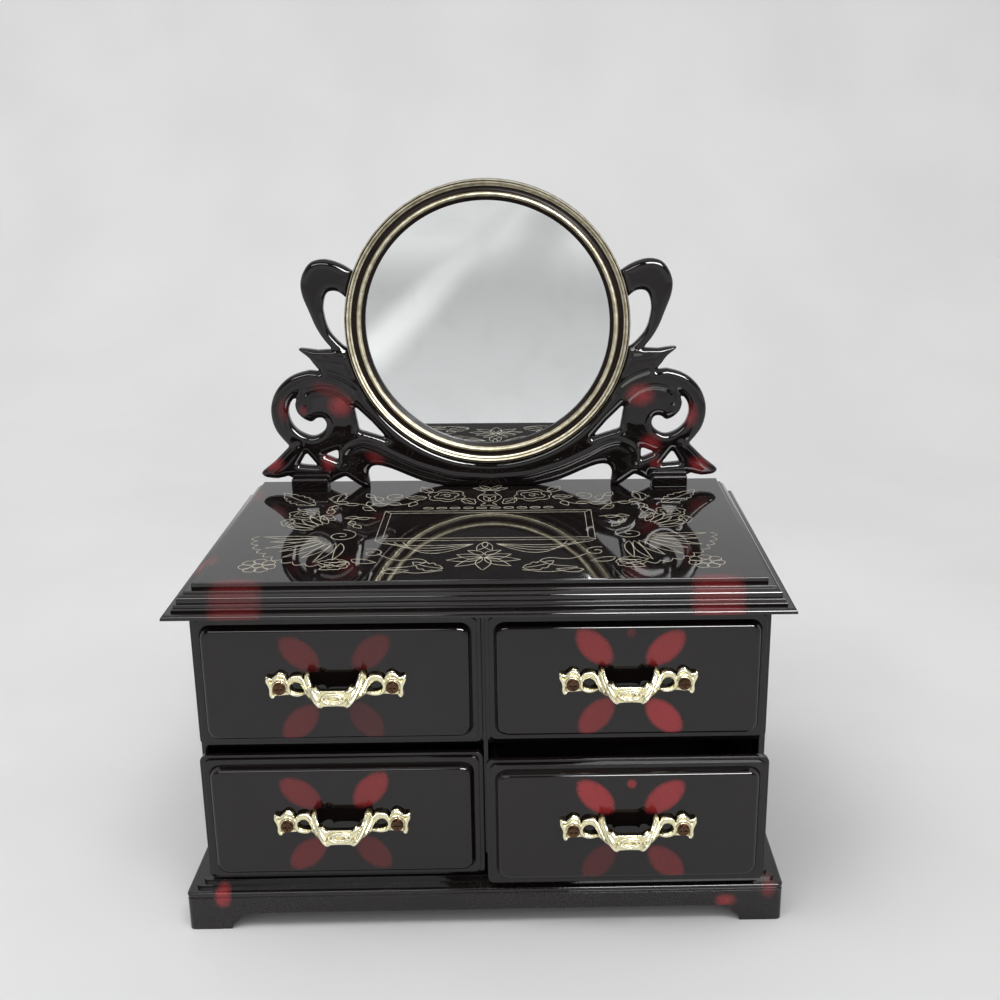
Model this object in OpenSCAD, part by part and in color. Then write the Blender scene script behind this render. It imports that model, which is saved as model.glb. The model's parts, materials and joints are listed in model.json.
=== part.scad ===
// Musical jewelry box: a small dresser with four drawers, a moulded top and a round mirror on scrolls.
// Millimetres, +Z up, the drawers open towards -Y, the box stands on Z = 0.

/* [Plinth] */
// How far the plinth's bead reaches past each side of the case
side_overhang = 6.7; // [6:0.1:16]
// How far the plinth's bead reaches in front of the case
front_overhang = 10.1; // [8.8:0.1:20]
// How far the plinth's bead reaches behind the back panel
back_overhang = 7.5; // [6:0.1:12]
// Height of the plinth's bead top above the floor
plinth_bead_top = 14; // [11:0.5:20]
// Height of the bead
plinth_bead_h = 1.8; // [1:0.1:3]
// How far the bead stands out from the groove under it
plinth_bead_out = 0.7; // [0.3:0.1:2]
// How far the skirt lies behind the bead
skirt_in = 0.1; // [0.05:0.05:0.3]
// Height of each step above the bead
plinth_step_h = 1; // [0.6:0.1:2]
// Tread of each step above the bead
plinth_step_run = 2; // [1:0.1:2.8]
// Wall of the hollow skirt
skirt_wall = 2.6; // [1.8:0.1:5]
// Thickness of the deck under the drawers
deck_t = 3; // [2:0.1:5]
// Length of each bracket foot along its side
foot_len = 14.4; // [10:0.1:24]
// Height of the arch between the feet
arch_h = 6; // [4.5:0.1:8]
// Width of the ogee curve at each end of an arch
ogee_run = 3.8; // [2:0.1:8]

/* [Case] */
// Width of the case outside
case_w = 187.2; // [174:0.2:220]
// Depth of the case, from its front edges to the back panel's outer face
case_d = 110; // [95:0.5:140]
// Thickness of the side walls
side_t = 2.2; // [1.8:0.1:3]
// Thickness of the shelf between the drawer rows
shelf_t = 1.8; // [1.2:0.1:2.2]
// Thickness of the centre dividers
divider_t = 2; // [1.2:0.1:3]
// Thickness of the back panel
back_t = 2; // [1.5:0.1:3]
// How far the shelf and dividers stand back from the sides' front edges
rail_setback = 0.6; // [0.2:0.1:3]
// Width of the screw lugs on the sides
lug_w = 7; // [6:0.5:9]
// Depth of the screw lugs
lug_d = 10; // [9:0.5:14]
// Height of the screw lugs
lug_h = 10; // [7:0.5:16]
// Height of the screw centres above the case floor and below its ceiling
lug_inset = 11; // [8:0.5:16]

/* [Top board] */
// How much smaller the top board's lip is than the plinth's bead
top_less = 0.6; // [0:0.1:2]
// Height of the lip
lip_h = 1.7; // [1.5:0.1:4]
// Radius of the lip's rounded edge
lip_r = 1.3; // [0.5:0.1:1.4]
// Tread above the lip
lip_run = 2.7; // [1.5:0.1:4]
// Height of the small bead above the lip
bead_h = 1.1; // [0.8:0.1:3]
// Tread above the small bead
bead_run = 0.6; // [0.6:0.1:3]
// Height of the fillet above the bead
fillet_h = 1.2; // [0.8:0.1:3]
// Tread above the fillet
fillet_run = 0.9; // [0.6:0.1:3]
// Height of the quarter round above the fillet
ovolo_h = 2.6; // [2.3:0.1:4]
// Radius of the quarter round
ovolo_r = 1.8; // [1:0.1:1.8]
// How far the quarter round goes in
ovolo_run = 1.9; // [1.9:0.1:4]
// Height of the cap above the quarter round
cap_h = 0.8; // [0.7:0.1:3]
// Tread above the cap
cap_run = 2.1; // [1:0.1:4]
// Height of the rim of the flat top
rim_h = 2; // [1:0.1:3]
// Radius of the small step edges
nosing_r = 0.4; // [0.2:0.1:0.5]
// Height of the ledge that sits on the case
ledge_h = 1.2; // [0.8:0.1:3]
// Thickness of the top over its hollow underside
top_skin = 3; // [2:0.1:5]

/* [Drawers] */
// Height of a drawer front
front_h = 46; // [44:0.5:60]
// Gap between the upper and lower drawer fronts
row_gap = 2.5; // [2.4:0.1:5]
// Gap between the left and right drawer fronts
column_gap = 1.2; // [0.8:0.1:3]
// Gap between a front and the case's outline
front_reveal = 0.3; // [0.3:0.05:1]
// Gap between a closed front and the case's front edges
closed_gap = 0.3; // [0.3:0.05:1]
// Thickness of the front's outer plate
plate_t = 1.8; // [1.4:0.1:4]
// Corner radius of the outer plate
plate_r = 2; // [1:0.1:4]
// Margin of the flange inside the outer plate
flange_in = 1.3; // [0.8:0.1:2.5]
// Thickness of the flange
flange_t = 1; // [0.6:0.1:2]
// Margin of the foot of the raised panel
panel_foot_in = 2.7; // [2.4:0.1:4]
// Margin of the face of the raised panel
panel_face_in = 4.2; // [4:0.1:8]
// Height of the raised panel
panel_rise = 2.5; // [1.5:0.1:4]
// Corner radius of the raised panel
panel_r = 3; // [1.5:0.1:6]
// Room for the movement between a closed tray and the case's back
rear_room = 33.7; // [30:0.1:50]
// Height of a tray
tray_h = 40; // [25:0.5:41]
// Wall of a tray
tray_wall = 1.6; // [1.2:0.1:3]
// Running gap at each side of a tray
tray_gap = 0.4; // [0.3:0.05:1]
// Running gap under a tray
tray_lift = 0.3; // [0.3:0.05:0.6]
// Thickness of the cloth lining
lining_t = 1.2; // [0.8:0.1:3]
// Gap around the cloth lining
lining_gap = 0.4; // [0.2:0.1:2]
// How far the upper left drawer stands open
open_upper_left = 0; // [0:0.5:50]
// How far the upper right drawer stands open
open_upper_right = 0; // [0:0.5:50]
// How far the lower left drawer stands open
open_lower_left = 2.5; // [0:0.5:50]
// How far the lower right drawer stands open
open_lower_right = 8; // [0:0.5:50]

/* [Pulls] */
// Distance between the two screws of a pull
pull_pitch = 36; // [30:0.5:50]
// Thickness of the cast pull
pull_t = 2; // [1.6:0.1:3]
// How far the bow stands out from its ends
pull_bow = 6.5; // [5.2:0.1:12]
// Half width of the plaque at the middle of the bow
plaque_half = 4.8; // [3:0.1:6]
// Radius of the pull screws' shanks
pull_screw_r = 1.2; // [0.8:0.05:1.4]
// Radius of the pull screws' heads
pull_head_r = 2.1; // [1.8:0.05:2.6]
// Height of the pull screws' heads
pull_head_h = 1.3; // [0.8:0.1:2]
// Clearance of a screw in its hole
screw_gap = 0.05; // [0.02:0.01:0.2]

/* [Mirror] */
// Outer radius of the ring frame
ring_r = 54.9; // [50:0.1:60]
// Width of the ring frame seen from the front
ring_w = 7.9; // [7:0.1:12]
// Depth of the ring frame behind its beads
ring_d = 4.6; // [4:0.1:8]
// Radius of the gold outer bead
outer_bead_r = 1; // [0.6:0.1:1.4]
// Radius of the gold inner bead
inner_bead_r = 0.8; // [0.5:0.1:1.2]
// Height of the mirror's centre above the top board
mirror_rise = 64.8; // [60:0.1:75]
// Distance of the mirror's back from the case's back
mirror_in = 5.8; // [4:0.1:16]
// Thickness of the glass
glass_t = 1.6; // [1:0.1:2]
// Thickness of the backing plate
backing_t = 1.2; // [0.8:0.1:2]
// Thickness of the scroll stand
stand_t = 4.8; // [3:0.1:8]
// Distance of the stand's foot blocks from the mirror's axis
foot_block_x = 71; // [68:0.5:74]
// Width of the stand's foot blocks
foot_block_w = 14; // [8:0.5:16]
// Depth of the stand's foot blocks
foot_block_d = 9; // [7:0.1:11]
// Gap between stand and ring, and between glass and ring
mirror_gap = 0.05; // [0.02:0.01:0.2]
// Radius of the screws that hold the stand
stand_screw_r = 1.5; // [1:0.05:2]
// Length of the screws in the foot blocks
stand_screw_grip = 4; // [2.5:0.1:5]

/* [Movement] */
// Distance of the winding axis from the right side's inner face
key_in = 63.4; // [62.4:0.2:70]
// Distance of the winding axis below the case's ceiling
key_drop = 17; // [16:0.5:18.5]
// Thickness of the cast bedplate
bed_t = 2.5; // [2:0.1:3]
// Outer radius of the spring barrel
barrel_r = 12; // [11:0.1:12.4]
// Height of the spring barrel
barrel_h = 9.4; // [8:0.1:10]
// Wall of the spring barrel
barrel_wall = 0.8; // [0.6:0.1:1.2]
// Thickness of the mainspring strip
spring_t = 0.5; // [0.3:0.05:0.7]
// Turns of the mainspring
spring_turns = 6; // [4:1:7]
// Radius of the winding arbor
arbor_r = 2; // [1.5:0.05:2.4]
// Running clearance of every shaft in its bearing
shaft_gap = 0.05; // [0.02:0.01:0.1]
// Thickness of the drive gear's disc
drive_disc_t = 1.5; // [1:0.1:2]
// Pitch radius of the drive gear's face teeth
drive_pitch_r = 12; // [11.5:0.1:12.2]
// Teeth of the drive gear
drive_teeth = 30; // [30:10:30]
// Teeth of the cylinder's pinion
pinion_teeth = 10; // [10:1:10]
// Radius of the pinned cylinder
cylinder_r = 6.5; // [5:0.1:6.6]
// Length of the pinned cylinder
cylinder_len = 18; // [14:0.5:19]
// Tracks of pins on the cylinder, and teeth on the comb
tracks = 18; // [12:1:18]
// Height of a pin above the cylinder
pin_h = 0.6; // [0.4:0.1:0.8]
// Radius of the cylinder's shaft
spindle_r = 1.2; // [1:0.05:1.4]
// Teeth of the gear at the cylinder's end
cylinder_teeth = 24; // [24:8:24]
// Teeth of the governor's pinion
governor_teeth = 8; // [8:1:8]
// Tooth module of the governor's gears
governor_module = 0.5; // [0.45:0.01:0.5]
// Radius of the governor's fan
fan_r = 5; // [4:0.1:5]
// Length of the governor's fan
fan_len = 4; // [3:0.1:4.5]
// Radius of the governor's shaft
governor_r = 0.8; // [0.6:0.05:1]
// Thickness of the comb
comb_t = 0.9; // [0.6:0.1:1.2]
// Gap between the comb's tips and the pins
comb_gap = 0.3; // [0.2:0.05:0.5]
// How far the winding key reaches behind the back panel
key_reach = 20.5; // [18:0.5:30]
// Thickness of the winding key's wings
key_wing_t = 2; // [1.5:0.1:3]
// Radius of each key wing
key_wing_r = 6.5; // [5:0.1:7]

/* [Hidden] */
$fn = 64;
hull_fn = 32;
through = 1;

UPPER_LEFT = [-1, 1];
UPPER_RIGHT = [1, 1];
LOWER_LEFT = [-1, 0];
LOWER_RIGHT = [1, 0];

// Heights of the case
plinth_top = plinth_bead_top + 2 * plinth_step_h;
lower_front_z = plinth_top + front_reveal;
upper_front_z = lower_front_z + front_h + row_gap;
case_top = upper_front_z + front_h + front_reveal;
shelf_z = upper_front_z - row_gap / 2 - shelf_t / 2;
board_bottom = case_top + ledge_h;
board_h = lip_h + bead_h + fillet_h + ovolo_h + cap_h + rim_h;
board_top = board_bottom + board_h;

// Depths of the case, plinth and top board
plinth_d = case_d + front_overhang + back_overhang;
top_d = plinth_d - top_less;
back_y = plinth_d / 2 - back_overhang;
case_front_y = back_y - case_d;
panel_in_y = back_y - back_t;
plate_back_y = case_front_y - closed_gap;
tray_back_y = back_y - rear_room - closed_gap;
tray_d = tray_back_y - plate_back_y;
face_depth = plate_t + flange_t + panel_rise;
face_y = plate_back_y - face_depth;
bow_y = face_y - pull_bow - pull_t;
reach_front = -bow_y + max(open_upper_left, open_upper_right, open_lower_left, open_lower_right);
reach_back = back_y + key_reach;
frame_y = (reach_front - reach_back) / 2;

// Widths of the case, plinth and top board
plinth_w = case_w + 2 * side_overhang;
top_w = plinth_w - top_less;
inner_x = case_w / 2 - side_t;
front_w = case_w / 2 - column_gap / 2 - front_reveal;
bay_w = inner_x - divider_t / 2;
tray_w = bay_w - 2 * tray_gap;
bay_x = divider_t / 2 + bay_w / 2;
front_x = column_gap / 2 + front_w / 2;

// Screw places on the back panel
lug_x = inner_x - lug_w / 2;
lug_zs = [plinth_top + lug_inset, case_top - lug_inset];
back_screw_r = 1.5;
back_head_r = 2.8;
back_head_h = 1.6;
back_screw_len = 8;

// Free room beyond a screw's tip
tip_gap = 0.5;

// Mirror depths, measured towards the back
mirror_y = back_y - mirror_in;
mirror_z = board_top + mirror_rise;
ring_in_r = ring_r - ring_w;
rebate_w = 2;
rebate_r = ring_in_r + rebate_w;
ring_lip_t = 1;
ring_flat = 1.6;
cove_drop = 0.5;
foot_block_y = mirror_y - foot_block_d / 2;
stand_head_r = 2.8;
stand_head_h = 1.6;
foot_block_h = stand_screw_grip + 1;
stand_screw_len = top_skin + stand_screw_grip - tip_gap;

// Movement axes
key_x = inner_x - key_in;
key_z = case_top - key_drop;
arbor_hole_gap = 2;
bed_y = panel_in_y - bed_t;
drive_tooth_h = 1.4;
drive_tooth_t = 0.8;
drive_gap = 0.3;
barrel_front_y = bed_y - barrel_h;
barrel_floor_t = 0.8;
spring_gap = 0.2;
drive_back_y = barrel_front_y - drive_gap;
drive_face_y = drive_back_y - drive_disc_t;
pinion_pitch_r = drive_pitch_r * pinion_teeth / drive_teeth;
pinion_addendum = 0.5;
pinion_dedendum = 1;
pinion_tip_r = pinion_pitch_r + pinion_addendum;
pinion_root_r = pinion_pitch_r - pinion_dedendum;
pinion_tooth = [1, 0.5];
pinion_phase = 90;
drive_rim = 1;
arbor_tail = 11;
arbor_end_y = back_y + arbor_tail;
key_neck = 2;
tooth_bottom_gap = 0.4;
tooth_sink = 0.2;
spindle_y = drive_face_y - tooth_bottom_gap - pinion_tip_r;
pinion_x = key_x + drive_pitch_r;
pinion_len = 1.8;
bracket_t = 1.5;
bracket_gap = 1.5;
end_play = 0.8;
gear_play = 0.7;
left_bracket_x = pinion_x + pinion_len / 2 + bracket_gap;
cylinder_x = left_bracket_x + bracket_t + end_play;
cylinder_end = cylinder_x + cylinder_len;
gear_x = cylinder_end + gear_play;
gear_len = 1.5;
right_bracket_x = gear_x + gear_len + gear_play;
fan_x = right_bracket_x + bracket_t + end_play;
end_bracket_x = fan_x + fan_len + end_play;
spindle_end = right_bracket_x + bracket_t;
cylinder_pitch_r = cylinder_teeth * governor_module / 2;
governor_pitch_r = governor_teeth * governor_module / 2;
gear_addendum = 0.45;
gear_dedendum = 0.7;
gear_backlash = 0.1;
cylinder_tooth = [0.7, 0.35];
governor_tooth = [0.65, 0.3];
governor_z = key_z + cylinder_pitch_r + governor_pitch_r + gear_backlash;
governor_stub = 0.3;
fan_t = 0.6;
fan_hub = 1;
bracket_front = 2.6;
bearing_half = 3.5;
governor_bearing_half = 2.4;
governor_foot = 5;
bed_lift = 2.65;
bed_margin = 2;
bed_bottom = shelf_z + shelf_t + bed_lift;
comb_foot_h = 5;
comb_tip_z = key_z - cylinder_r - pin_h - comb_gap;
comb_end_z = bed_bottom + bed_margin;
comb_root_z = comb_end_z + comb_foot_h;
comb_screw_z = (comb_root_z + comb_end_z) / 2;
comb_screw_in = 4;
comb_screw_len = 5;
comb_hole_d = 6;
comb_screw_xs = [cylinder_x + comb_screw_in, cylinder_end - comb_screw_in];
bed_lever_room = 9;
bed_x = [key_x - barrel_r - bed_margin, end_bracket_x + bed_lever_room];
bed_z = [bed_bottom, case_top - bed_margin];
bed_screw_in = 4;
bed_screw_rise = 20;
bed_screws = [
    [bed_x[0] + bed_screw_in, bed_z[0] + bed_screw_in],
    [bed_x[1] - bed_screw_in, bed_z[0] + bed_screw_in],
    [bed_x[1] - bed_screw_in, bed_z[0] + bed_screw_in + bed_screw_rise],
];
bed_screw_r = 1.2;
bed_head_r = 2.2;
bed_head_h = 1.3;

// Stop lever, above the governor's fan
lever_gap = 0.4;
lever_z = governor_z + fan_r + lever_gap;
lever_t = 1.8;
lever_side = 6;
lever_back = 5;
lever_play = 0.2;
lever_pin_top = 1;
lever_x = end_bracket_x + lever_side;
lever_y = tray_back_y + lever_back;
lever_arm = 9;
lever_w = 2.4;
lever_pin_r = 1;
lever_hub_r = 2.6;
lever_tab_drop = 9;
lever_shelf_t = 1.8;

// Colours
lacquer = [0.03, 0.03, 0.035];
pale_gold = [0.87, 0.82, 0.55];
screw_brown = [0.3, 0.22, 0.16];
steel = [0.7, 0.7, 0.72];
brass = [0.8, 0.66, 0.32];
cast_grey = [0.55, 0.55, 0.57];
red_cloth = [0.5, 0.05, 0.07];
silver_glass = [0.85, 0.88, 0.9];

// Outlines

// Point on a smooth curve between b and c
function curve_point(a, b, c, d, t) =
    0.5 * (2 * b + (c - a) * t + (2 * a - 5 * b + 4 * c - d) * t * t + (3 * b - a - 3 * c + d) * t * t * t);

// Smooth curve through the points p, with n steps between two of them
function smooth(p, n) = [
    for (i = [0 : len(p) - 2], k = [0 : n - 1])
        curve_point(p[max(i - 1, 0)], p[i], p[i + 1], p[min(i + 2, len(p) - 1)], k / n),
    p[len(p) - 1],
];

// Closed smooth curve through the points p
function smooth_loop(p, n) = [
    for (i = [0 : len(p) - 1], k = [0 : n - 1])
        curve_point(p[(i + len(p) - 1) % len(p)], p[i], p[(i + 1) % len(p)], p[(i + 2) % len(p)], k / n),
];

// Sum of the first n values
function sum_to(v, n) = n <= 0 ? 0 : v[n - 1] + sum_to(v, n - 1);

// Steps of a moulding as [inset, height] points, each step with a rounded edge of its own radius
function stepped_edge(rises, runs, radii) = [
    for (i = [0 : len(rises) - 1])
        let (x = sum_to(runs, i), top = sum_to(rises, i + 1), r = radii[i])
            each concat(
                [[x, top - rises[i]]],
                [for (a = [180 : -15 : 90]) [x + r + r * cos(a), top - r + r * sin(a)]]
            ),
];

// Cross-section of a moulded block of half width h, from the edge's points
function moulded_outline(h, edge) = concat(
    [for (p = edge) [h - p[0], p[1]]],
    [for (i = [len(edge) - 1 : -1 : 0]) [edge[i][0] - h, edge[i][1]]]
);

// Block with the same moulding mitred round its four sides
module moulded_block(w, d, edge) {
    intersection() {
        rotate([90, 0, 0])
            linear_extrude(d + 2 * through, center = true)
                polygon(moulded_outline(w / 2, edge));
        rotate([90, 0, 90])
            linear_extrude(w + 2 * through, center = true)
                polygon(moulded_outline(d / 2, edge));
    }
}

// Box between two corners
module span(low, high) {
    translate(low)
        cube(high - low);
}

// Upright plate in the XZ plane, t thick from y towards -Y
module upright(y, t) {
    translate([0, y, 0])
        rotate([90, 0, 0])
            linear_extrude(t)
                children();
}

// Rounded rectangle centred on the origin
module rounded_square(w, h, r) {
    union() {
        square([w - 2 * r, h], center = true);
        square([w, h - 2 * r], center = true);
        for (sx = [-1, 1], sy = [-1, 1])
            translate([sx * (w / 2 - r), sy * (h / 2 - r)])
                circle(r, $fn = hull_fn);
    }
}

// Cylinder along Y, from y towards -Y
module rod_y(r, y, len) {
    translate([0, y, 0])
        rotate([90, 0, 0])
            cylinder(r = r, h = len);
}

// Cylinder along X, from x towards +X
module rod_x(r, x, len) {
    translate([x, 0, 0])
        rotate([0, 90, 0])
            cylinder(r = r, h = len);
}

// Cross-head screw along Y: the head's seat at y = 0, the head towards -Y, the shank towards +Y
module cross_screw(head_r, head_h, shank_r, shank_len) {
    rim_h = head_h * 0.6;
    crown_r = head_r * 0.8;
    slot_w = head_r * 0.22;
    slot_len = head_r * 1.2;
    difference() {
        union() {
            rod_y(head_r, 0, rim_h);
            rod_y(crown_r, 0, head_h);
            rod_y(shank_r, shank_len, shank_len);
        }
        for (a = [0, 90])
            translate([0, -head_h, 0])
                rotate([0, a, 0])
                    cube([slot_len, head_h, slot_w], center = true);
    }
}

// Case

// Profile of the plinth's outside, as [inset, height] points from the floor up
plinth_skirt_top = plinth_bead_top - plinth_bead_h;
plinth_bead_c = plinth_bead_top - plinth_bead_h / 2;
plinth_edge = concat(
    [
        [skirt_in, 0],
        [skirt_in, plinth_skirt_top - (plinth_bead_out - skirt_in)],
        [plinth_bead_out, plinth_skirt_top],
    ],
    [
        for (a = [-60, -30, 0, 30, 60])
            [plinth_bead_out * (1 - cos(a)), plinth_bead_c + plinth_bead_h / 2 * sin(a)],
    ],
    [
        [plinth_bead_out, plinth_bead_top],
        [plinth_bead_out + plinth_step_run, plinth_bead_top],
        [plinth_bead_out + plinth_step_run, plinth_bead_top + plinth_step_h],
        [plinth_bead_out + 2 * plinth_step_run, plinth_bead_top + plinth_step_h],
        [plinth_bead_out + 2 * plinth_step_run, plinth_top],
    ]
);

// Opening between two feet of a side of length l, with an ogee at each end
function arch_outline(l) =
    let (half = l / 2 - foot_len, steps = 6)
    concat(
        [[-half, -through], [half, -through]],
        [
            for (k = [0 : steps])
                [half - ogee_run * (0.5 - 0.5 * cos(180 * k / steps)), arch_h * k / steps],
        ],
        [
            for (k = [steps : -1 : 0])
                [-half + ogee_run * (0.5 - 0.5 * cos(180 * k / steps)), arch_h * k / steps],
        ]
    );

module plinth() {
    hollow = plinth_bead_out + skirt_wall;
    color(lacquer)
        difference() {
            moulded_block(plinth_w, plinth_d, plinth_edge);
            span(
                [-plinth_w / 2 + hollow, -plinth_d / 2 + hollow, -through],
                [plinth_w / 2 - hollow, plinth_d / 2 - hollow, plinth_top - deck_t]
            );
            upright(plinth_d / 2 + through, plinth_d + 2 * through)
                polygon(arch_outline(plinth_w));
            rotate([0, 0, 90])
                upright(plinth_w / 2 + through, plinth_w + 2 * through)
                    polygon(arch_outline(plinth_d));
        }
}

// One side of the case, on the right for side = 1, with lugs for the back panel's screws
module case_side(side) {
    color(lacquer)
        mirror([side < 0 ? 1 : 0, 0, 0])
            difference() {
                union() {
                    span([inner_x, case_front_y, plinth_top], [case_w / 2, back_y, case_top]);
                    for (z = lug_zs)
                        span(
                            [inner_x - lug_w, panel_in_y - lug_d, z - lug_h / 2],
                            [inner_x + through, panel_in_y, z + lug_h / 2]
                        );
                }
                for (z = lug_zs)
                    translate([lug_x, 0, z])
                        rod_y(back_screw_r + screw_gap, panel_in_y + through, back_screw_len + through);
            }
}

module shelf() {
    color(lacquer)
        span([-inner_x, case_front_y + rail_setback, shelf_z], [inner_x, panel_in_y, shelf_z + shelf_t]);
}

module centre_divider(low, high) {
    color(lacquer)
        span([-divider_t / 2, case_front_y + rail_setback, low], [divider_t / 2, panel_in_y, high]);
}

module back_panel() {
    color(lacquer)
        difference() {
            span([-inner_x, panel_in_y, plinth_top], [inner_x, back_y, case_top]);
            for (sx = [-1, 1], z = lug_zs)
                translate([sx * lug_x, 0, z])
                    rod_y(back_screw_r + screw_gap, back_y + through, back_t + 2 * through);
            for (p = bed_screws)
                translate([p[0], 0, p[1]])
                    rod_y(bed_screw_r + screw_gap, back_y + through, back_t + 2 * through);
            translate([key_x, 0, key_z])
                rod_y(arbor_r + arbor_hole_gap, back_y + through, back_t + 2 * through);
        }
}

module back_screws() {
    color(steel)
        for (sx = [-1, 1], z = lug_zs)
            translate([sx * lug_x, back_y, z])
                rotate([0, 0, 180])
                    cross_screw(back_head_r, back_head_h, back_screw_r, back_t + back_screw_len - tip_gap);
}

module top_board() {
    edge = stepped_edge(
        [lip_h, bead_h, fillet_h, ovolo_h, cap_h, rim_h],
        [lip_run, bead_run, fillet_run, ovolo_run, cap_run],
        [lip_r, nosing_r, nosing_r, ovolo_r, nosing_r, nosing_r]
    );
    color(lacquer)
        difference() {
            union() {
                translate([0, 0, board_bottom])
                    moulded_block(top_w, top_d, edge);
                span([-case_w / 2, case_front_y, case_top], [case_w / 2, back_y, board_bottom + through]);
            }
            span(
                [-inner_x, case_front_y + side_t, case_top - through],
                [inner_x, panel_in_y, board_top - top_skin]
            );
            for (sx = [-1, 1])
                translate([sx * foot_block_x, foot_block_y, board_top - top_skin - through])
                    cylinder(r = stand_screw_r + screw_gap, h = top_skin + 2 * through);
        }
}

// Mirror and stand

// Left wing of the scroll stand: its outline in strands that meet at corners, x from the mirror's axis
// and z from the top board
ear_strand = [
    [-44, 80], [-51, 85.5], [-56, 88.5], [-61.5, 90], [-66.5, 89], [-69.5, 85.5], [-71, 81], [-70.5, 76],
    [-68.5, 70.5], [-66, 64], [-63, 59], [-60, 55.5],
];
spike_strand = [[-66, 55.2], [-72, 56], [-73, 55.2], [-69.5, 52.3], [-67.5, 49.5], [-65, 46.7]];
volute_strand = [
    [-69.5, 47.3], [-74.5, 46], [-79, 43.5], [-83, 39], [-85.2, 33], [-85, 27], [-83, 22], [-79, 17],
];
tail_strand = [[-81.5, 14.5], [-85.5, 10.5], [-90, 7], [-90.5, 5.5], [-88.5, 4.2], [-84, 3.8], [-80, 4.8]];
foot_strand = [
    [-foot_block_x - foot_block_w / 2, 3.5], [-foot_block_x - foot_block_w / 2, 0],
    [-foot_block_x + foot_block_w / 2, 0], [-foot_block_x + foot_block_w / 2, 1.5], [-61, 3], [-57.5, 4.5],
];
hook_strand = [
    [-54, 2], [-51, 0], [-48, 0], [-48.2, 3], [-48.4, 6], [-47, 8.3], [-44.5, 8.8], [-41, 8], [-36, 6],
    [-28, 2.5], [-22, 0.9], [-17.5, 0],
];
ear_hole = [
    [-48, 70], [-53.5, 75], [-56.5, 77.5], [-59.5, 78], [-61.7, 76.5], [-62.8, 72.5], [-62.7, 69],
    [-61.4, 63.7], [-59, 60], [-54.7, 56], [-48, 54],
];
comma_hole = [
    [-74.6, 37.6], [-77.5, 34.5], [-78.6, 30.4], [-77.3, 25.7], [-74, 22.4], [-69.3, 20.9], [-65.4, 22.9],
    [-64, 25.6], [-65.1, 28.1], [-67.4, 28.3], [-69.8, 26.8], [-72.8, 28.1], [-75.1, 30.6], [-75.8, 34],
];
left_gap = [[-72.5, 14.3], [-75.5, 9.3], [-68, 8.6]];
right_gap = [[-60, 15.5], [-65.6, 13.4], [-60, 11]];
cradle_gap = [[-53, 33.3], [-46, 26.3], [-40.3, 19.6], [-45, 21.2], [-51.3, 23.2]];
wing_outline = concat(
    smooth(ear_strand, 3), smooth(spike_strand, 2), smooth(volute_strand, 3), smooth(tail_strand, 2),
    foot_strand, smooth(hook_strand, 2), [[0, 0], [0, 60]]
);

module wing() {
    difference() {
        polygon(wing_outline);
        polygon(smooth(ear_hole, 3));
        polygon(smooth_loop(comma_hole, 3));
        polygon(left_gap);
        polygon(right_gap);
        polygon(cradle_gap);
        translate([-top_w, -mirror_rise])
            square([2 * top_w, mirror_rise]);
    }
}

module scroll_stand() {
    color(lacquer)
        difference() {
            union() {
                for (side = [0, 1])
                    mirror([side, 0, 0])
                        translate([0, 0, board_top])
                            upright(mirror_y, stand_t)
                                wing();
                for (sx = [-1, 1])
                    translate([sx * foot_block_x, foot_block_y, board_top + foot_block_h / 2])
                        cube([foot_block_w, foot_block_d, foot_block_h], center = true);
            }
            translate([0, 0, mirror_z])
                rod_y(ring_r + mirror_gap, mirror_y + through, foot_block_d + stand_t + 2 * through);
            for (sx = [-1, 1])
                translate([sx * foot_block_x, foot_block_y, board_top - through])
                    cylinder(r = stand_screw_r + screw_gap, h = stand_screw_grip + through);
        }
}

module stand_screws() {
    color(steel)
        for (sx = [-1, 1])
            translate([sx * foot_block_x, foot_block_y, board_top - top_skin])
                rotate([90, 0, 0])
                    cross_screw(stand_head_r, stand_head_h, stand_screw_r, stand_screw_len);
}

// Half round bead of radius r at radius c of the ring, standing on depth d
function bead(c, r, d) = [for (a = [180 : -22.5 : 0]) [c + r * cos(a), d + r * sin(a)]];

module mirror_ring() {
    outer_c = ring_r - outer_bead_r;
    inner_c = ring_in_r + ring_flat + inner_bead_r;
    cove_c = (outer_c - outer_bead_r + inner_c + inner_bead_r) / 2;
    lip_d = glass_t + backing_t;
    color(lacquer)
        translate([0, mirror_y, mirror_z])
            rotate([90, 0, 0])
                rotate_extrude($fn = 128)
                    polygon(concat(
                        [[rebate_r, 0], [rebate_r, lip_d], [ring_in_r, lip_d]],
                        [[ring_in_r, lip_d + ring_lip_t], [inner_c - inner_bead_r, ring_d]],
                        bead(inner_c, inner_bead_r, ring_d),
                        [[cove_c, ring_d - cove_drop]],
                        bead(outer_c, outer_bead_r, ring_d),
                        [[ring_r, 0]]
                    ));
}

module mirror_glass() {
    color(silver_glass)
        translate([0, 0, mirror_z])
            rod_y(rebate_r - mirror_gap, mirror_y - backing_t, glass_t);
}

module mirror_backing() {
    color(lacquer)
        translate([0, 0, mirror_z])
            rod_y(rebate_r - mirror_gap, mirror_y, backing_t);
}

// Drawers. A bay is [side, row]: side -1 or 1, row 0 below and 1 above

function opened(bay) =
    bay == UPPER_LEFT ? open_upper_left
    : bay == UPPER_RIGHT ? open_upper_right
    : bay == LOWER_LEFT ? open_lower_left
    : open_lower_right;
function front_z(bay) = (bay[1] == 1 ? upper_front_z : lower_front_z) + front_h / 2;
function tray_z(bay) = (bay[1] == 1 ? shelf_z + shelf_t : plinth_top) + tray_lift;

// Moves a drawer's pieces to how far it stands open
module opened_to(bay) {
    translate([0, -opened(bay), 0])
        children();
}

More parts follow.
